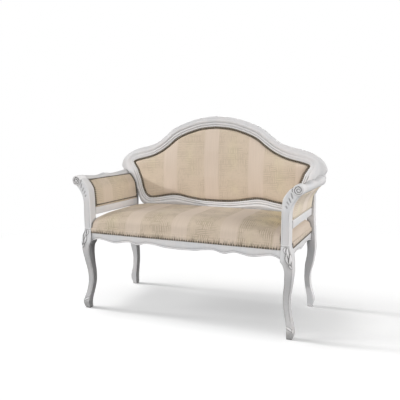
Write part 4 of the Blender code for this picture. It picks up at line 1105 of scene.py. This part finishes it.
def inflated(name, form, finish, pinned, pressure):
    """A padded piece: the form remeshed, blown up as cloth by no more than its swelling, and softened."""
    made = added(name, form)
    step = made.modifiers.new("remesh", "REMESH")
    step.mode = "VOXEL"
    step.voxel_size = VOXEL
    data = bpy.data.meshes.new_from_object(made.evaluated_get(bpy.context.evaluated_depsgraph_get()))
    made.modifiers.clear()
    made.data = data
    start = points_of(data)
    group = made.vertex_groups.new(name="pinned")
    group.add([int(i) for i in np.nonzero(pinned(start))[0]], 1.0, "REPLACE")
    cloth = made.modifiers.new("cloth", "CLOTH")
    for key, value in SIM_SETTINGS.items():
        setattr(cloth.settings, key, value)
    cloth.settings.uniform_pressure_force = pressure
    cloth.settings.effector_weights.gravity = 0
    cloth.point_cache.frame_end = SIM_FRAMES
    for step_frame in range(1, SIM_FRAMES + 1):
        scene.frame_set(step_frame)
    blown = made.evaluated_get(bpy.context.evaluated_depsgraph_get()).to_mesh()
    move = points_of(blown) - start
    made.modifiers.clear()
    made.vertex_groups.clear()
    scene.frame_set(1)
    size = np.linalg.norm(move, axis=1)[:, None]
    start += move * np.minimum(1, SWELLING / np.maximum(size, 1e-9))
    data.vertices.foreach_set("co", start.ravel())
    rework(data, soften)
    return dressed(made, finish)


def creases(chance, along, z, knots, rise, depth):
    """Random creases along the seat's lower edge, fading out upwards."""
    strength = np.interp(along, knots, chance.normal(0, 1, len(knots)))
    return depth * strength * np.exp(-((z - SEAT_TOP) / rise))


def seat():
    def held(points):
        return points[:, 2] < SEAT_TOP + SEAT_EDGE

    made = inflated("upholstered_seat", seat_form(), CLOTH_SEAT, held, 4.0)
    points = points_of(made.data)
    x, y, z = points.T
    chance = np.random.default_rng(5)
    front = creases(chance, x, z, np.arange(-0.56, 0.57, 0.011), 0.018, 0.0013)
    y += front * (y < SEAT_FRONT + CREASE_BAND)
    sides = creases(chance, y, z, np.arange(-0.25, 0.25, 0.012), 0.016, 0.001)
    x += sides * np.sign(x) * (np.abs(x) > SEAT_HALF - CREASE_BAND)
    made.data.vertices.foreach_set("co", points.ravel())


# Section of the cloth over a rail: depth from the rail's face, and height
SKIRT = (
    (-0.0003, 0.4128), (-0.0024, 0.413), (-0.0034, 0.4175), (-0.004, 0.426), (-0.004, 0.434),
    (-0.0022, 0.4395), (0.0, 0.44), (-0.0003, 0.429),
)
NAIL_INSET = 0.005
NAIL_LIFT = 0.0032
SKIRT_INSET = 0.002


def skirt(name, places, chance):
    """The cushion's cloth, drawn down over a rail. Each place gives a point from depth and height."""
    rings = []
    for place in places:
        pull = chance.uniform(-0.0004, 0.0009)
        rings.append([place(d - (pull if 0 < i < 5 else 0), z) for i, (d, z) in enumerate(SKIRT)])
    skin(name, rings, CLOTH_SEAT, sharp=60)


def seat_edges():
    chance = random.Random(11)
    reach = POST_INNER - GAP
    places = [lambda d, z, x=x: (x, RAIL_FRONT + d, z) for x in np.linspace(-reach, reach, 230)]
    skirt("seat_skirt_front", places, chance)
    ends = (NAIL_INSET - reach, reach - NAIL_INSET)
    rows = [([(x, RAIL_FRONT - NAIL_LIFT, NAIL_LINE) for x in ends], (0, -1, 0.1), False)]
    nail_rows("seat_nails_front", rows, SEAT_NAIL_PITCH)
    low, high = POST_BACK + SKIRT_INSET, REAR_FRONT - SKIRT_INSET
    ends = (low + NAIL_INSET, high - NAIL_INSET)
    for side, hand in SIDES:
        places = [lambda d, z, y=y: (side * (POST_OUTER - d), y, z) for y in np.linspace(low, high, 90)]
        skirt("seat_skirt_" + hand, places, chance)
        rows = [([(side * (POST_OUTER + NAIL_LIFT), y, NAIL_LINE) for y in ends], (side, 0, 0.1), False)]
        nail_rows("seat_nails_" + hand, rows, SEAT_NAIL_PITCH)


def back_upholstery(loop):
    rim = inward(loop, RIM_GAP)[::2]

    def held(points):
        gaps = [np.hypot(points[:, 0] - x, points[:, 2] - z) for x, z in rim]
        return (np.min(gaps, axis=0) < HELD_RIM) | (points[:, 1] > back_face(points[:, 2]) + BOARD - 0.004)

    shares = (1.0, 1.0, 0.985, 0.96, 0.92, 0.86, 0.78, 0.68, 0.56, 0.42, 0.26, 0.1)
    form = back_form(loop, BOARD - GAP, BACK_PAD_RISE, shares)
    made = inflated("upholstered_back", form, CLOTH_BACK, held, 2.0)
    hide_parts("back_pad")
    form = back_form(loop, COVER_DEPTH, BACK_COVER_RISE, (1.0, 1.0, 0.96, 0.85, 0.65, 0.4, 0.15))
    cover = dressed(added("outside_back_cloth", form), CLOTH_BACK, 50)
    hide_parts("back_cover")


def back_edges(loop):
    def line(depth):
        return np.column_stack((loop[:, 0], back_face(loop[:, 1]) + depth, loop[:, 1]))

    made = nail_rows("back_nails", [(line(BACK_NAIL_DEPTH), (0, -1, BACK_LEAN), True)])
    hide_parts("back_nail_trim")
    depth, wall = REAR_GIMP
    made = strip("back_gimp_rear", line(depth), (0, 1, 0), BACK_GIMP_HALF, wall, PALE_GIMP, closed=True)
    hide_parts("rear_nail_trim")
    depth, wall = FRONT_GIMP
    strip("back_gimp_front", line(depth), (0, -1, 0), BACK_GIMP_HALF, wall, GIMP, closed=True)


def build():
    for side, hand in SIDES:
        front_leg(side, hand)
        volute(side, hand)
        rear_leg(side, hand)
        arm_top(side, hand)
        arm_low(side, hand)
        arm_pad(side, hand, "inner", CLOTH_INNER)
        arm_pad(side, hand, "outer", CLOTH_OUTER)
        arm_edges(side, hand)
    seat_frame()
    loop = back_frame()
    back_upholstery(loop)
    back_edges(loop)
    seat()
    seat_edges()


build()

# The solids that the pieces stand for: in pairs, and single
PAIRS = {
    "carved_leg_front_": "front_leg_",
    "shaped_leg_rear_": "rear_leg_",
    "wavy_arm_top_": "arm_top_rail_",
    "rounded_arm_rail_": "arm_lower_rail_",
    "padded_arm_inner_": "arm_pad_inner_",
    "padded_arm_outer_": "arm_pad_outer_",
    "arm_nails_inner_": "arm_trim_inner_",
    "arm_gimp_outer_": "arm_trim_outer_",
    "carved_apron_": "seat_rail_",
    "seat_nails_": "seat_trim_",
}
SINGLE = {
    "moulded_crest": "crest_rail",
    "moulded_lower_rail": "back_lower_rail",
    "carved_apron_front": "seat_rail_front",
    "upholstered_seat": "seat_pad",
    "seat_nails_front": "seat_trim_front",
}
for _, hand in SIDES:
    for name, solid in PAIRS.items():
        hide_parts(solid + hand)
for name, solid in SINGLE.items():
    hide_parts(solid)

# The solids that stay, by the starts of their names, with their materials
KEPT = {
    "arm_board": BEECH,
    "back_board": BEECH,
    "corner_block": BEECH,
    "seat_rail_rear": WOOD,
    "screw": STEEL,
    "seat_webbing": JUTE,
    "dust_cover": CAMBRIC,
}
for name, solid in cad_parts.items():
    for start, finish in KEPT.items():
        if name.startswith(start):
            solid.data.materials.clear()
            solid.data.materials.append(finish)

# Floor and background
FLOOR_SEEN = (0.8, 0.8, 0.8)
FLOOR_UNSEEN = (0.08, 0.08, 0.08)
FLOOR_LIFT = 0.33
FLOOR_HALF = 9
FLOOR_BRIGHTENS = (1.6, 2.6)
WORLD_LIGHT = 0.1
WORLD_LEAN = 0.04
WORLD_LEAST = 0.05
BRIGHT_SIDE = (0.65, -0.65, 0.39)


def background_rays(tree):
    """1 for the rays that see the background: from the camera, off gloss and through glass."""
    path = node(tree, "LightPath")
    seen = maths("MAXIMUM", path.outputs["Is Camera Ray"], path.outputs["Is Glossy Ray"])
    return maths("MAXIMUM", seen, path.outputs["Is Transmission Ray"])


def floor_material():
    """A floor that shows shadows near the settee and turns white far off, but throws back little light."""
    made, tree, shader = nodes_of("studio_floor")
    tree.nodes.remove(shader)
    lit = node(tree, "BsdfDiffuse", Color=(*FLOOR_SEEN, 1))
    lift = node(tree, "Emission", Strength=FLOOR_LIFT)
    near = node(tree, "AddShader")
    feed(near.inputs, (lit.outputs[0], lift.outputs[0]))
    far = node(tree, "Emission", Strength=1.0)
    quiet = node(tree, "BsdfDiffuse", Color=(*FLOOR_UNSEEN, 1))
    reach = node(tree, "VectorMath", operation="LENGTH")
    join(node(tree, "TexCoord").outputs["Object"], reach.inputs[0])
    bright = node(tree, "MixShader")
    share = ramp(reach.outputs["Value"], *FLOOR_BRIGHTENS)
    feed(bright.inputs, (share, near.outputs[0], far.outputs[0]))
    pick = node(tree, "MixShader")
    feed(pick.inputs, (background_rays(tree), quiet.outputs[0], bright.outputs[0]))
    join(pick.outputs[0], tree.nodes["Material Output"].inputs["Surface"])
    return made


def white_world():
    """A world that the camera sees white, and that lights the settee a little more from one side."""
    world = bpy.data.worlds.new("studio")
    world.use_nodes = True
    tree = world.node_tree
    shade = tree.nodes["Background"]
    shade.inputs["Color"].default_value = (1, 1, 1, 1)
    lean = node(tree, "VectorMath", operation="DOT_PRODUCT")
    lean.inputs[1].default_value = BRIGHT_SIDE
    join(node(tree, "TexCoord").outputs["Generated"], lean.inputs[0])
    soft = maths("MULTIPLY_ADD", lean.outputs["Value"], WORLD_LEAN, WORLD_LIGHT)
    level = node(tree, "Mix", data_type="FLOAT")
    feed(level.inputs, (background_rays(tree),))
    feed(level.inputs[2:4], (maths("MAXIMUM", soft, WORLD_LEAST), 1.0))
    join(level.outputs[0], shade.inputs["Strength"])
    return world


scene.world = white_world()
plane = bpy.data.meshes.new("studio_floor")
corners = [(x * FLOOR_HALF, y * FLOOR_HALF, 0) for x, y in ((-1, -1), (1, -1), (1, 1), (-1, 1))]
plane.from_pydata(corners, [], [(0, 1, 2, 3)])
plane.materials.append(floor_material())
floor = added("studio_floor", plane)


def only_for(name, stage, state):
    """A group that keeps a lamp off the floor, or on the floor alone."""
    group = bpy.data.collections.new(name)
    group.objects.link(stage)
    group.collection_objects[0].light_linking.link_state = state
    return group


OFF_FLOOR = only_for("lamps_off_the_floor", floor, "EXCLUDE")
ON_FLOOR = only_for("lamps_on_the_floor", floor, "INCLUDE")
# Lamps: the way to each, its strength, its spread in degrees, and its group
LAMPS = {
    "window_light": ((-0.838, -0.467, 0.281), 1.66, 0.8, OFF_FLOOR),
    "front_light": ((0.0, -0.94, 0.34), 1.73, 48, OFF_FLOOR),
    "side_light": ((0.87, 0.03, 0.492), 1.84, 30, OFF_FLOOR),
    "low_side_light": ((1.0, 0.0, 0.014), 0.95, 1, OFF_FLOOR),
    "rear_light": ((-0.28, 0.958, 0.06), 1.1, 20, OFF_FLOOR),
    "floor_low": ((-0.981, -0.086, 0.174), 4.1, 10, ON_FLOOR),
    "floor_middle": ((-0.815, -0.234, 0.53), 0.78, 18, ON_FLOOR),
    "floor_high": ((-0.309, 0.0, 0.951), 0.78, 22, ON_FLOOR),
    "floor_top": ((0.0, -0.2, 0.98), 0.58, 55, ON_FLOOR),
}
LAMP_DISTANCE = 3
for name, (way, level, spread, group) in LAMPS.items():
    lamp = bpy.data.lights.new(name, "SUN")
    lamp.energy = level
    lamp.angle = radians(spread)
    made = added(name, lamp)
    made.location = Vector(way) * LAMP_DISTANCE
    made.rotation_euler = Vector(way).to_track_quat("Z", "Y").to_euler()
    made.light_linking.receiver_collection = group

# Camera at the photograph's angle
AZIMUTH = radians(22.19)
ELEVATION = radians(10.81)
DISTANCE = 2.515
TARGET = Vector((0.106, 0.009, 0.45))
SENSOR_WIDTH = 36.0
FOCAL_PIXELS = 488.3
PICTURE_PIXELS = 400
SHIFT = (-0.0478, 0.064)
camera = bpy.data.cameras.new("photo_camera")
camera.sensor_width = SENSOR_WIDTH
camera.lens = SENSOR_WIDTH * FOCAL_PIXELS / PICTURE_PIXELS
camera.shift_x, camera.shift_y = SHIFT
viewer = added("photo_camera", camera)
level_back = Vector((sin(AZIMUTH), -cos(AZIMUTH), 0)) * cos(ELEVATION)
back = level_back + Vector((0, 0, sin(ELEVATION)))
viewer.location = TARGET + back * DISTANCE
viewer.rotation_euler = (-back).to_track_quat("-Z", "Y").to_euler()
scene.camera = viewer
scene.view_settings.view_transform = "Standard"

bpy.context.view_layer.update()
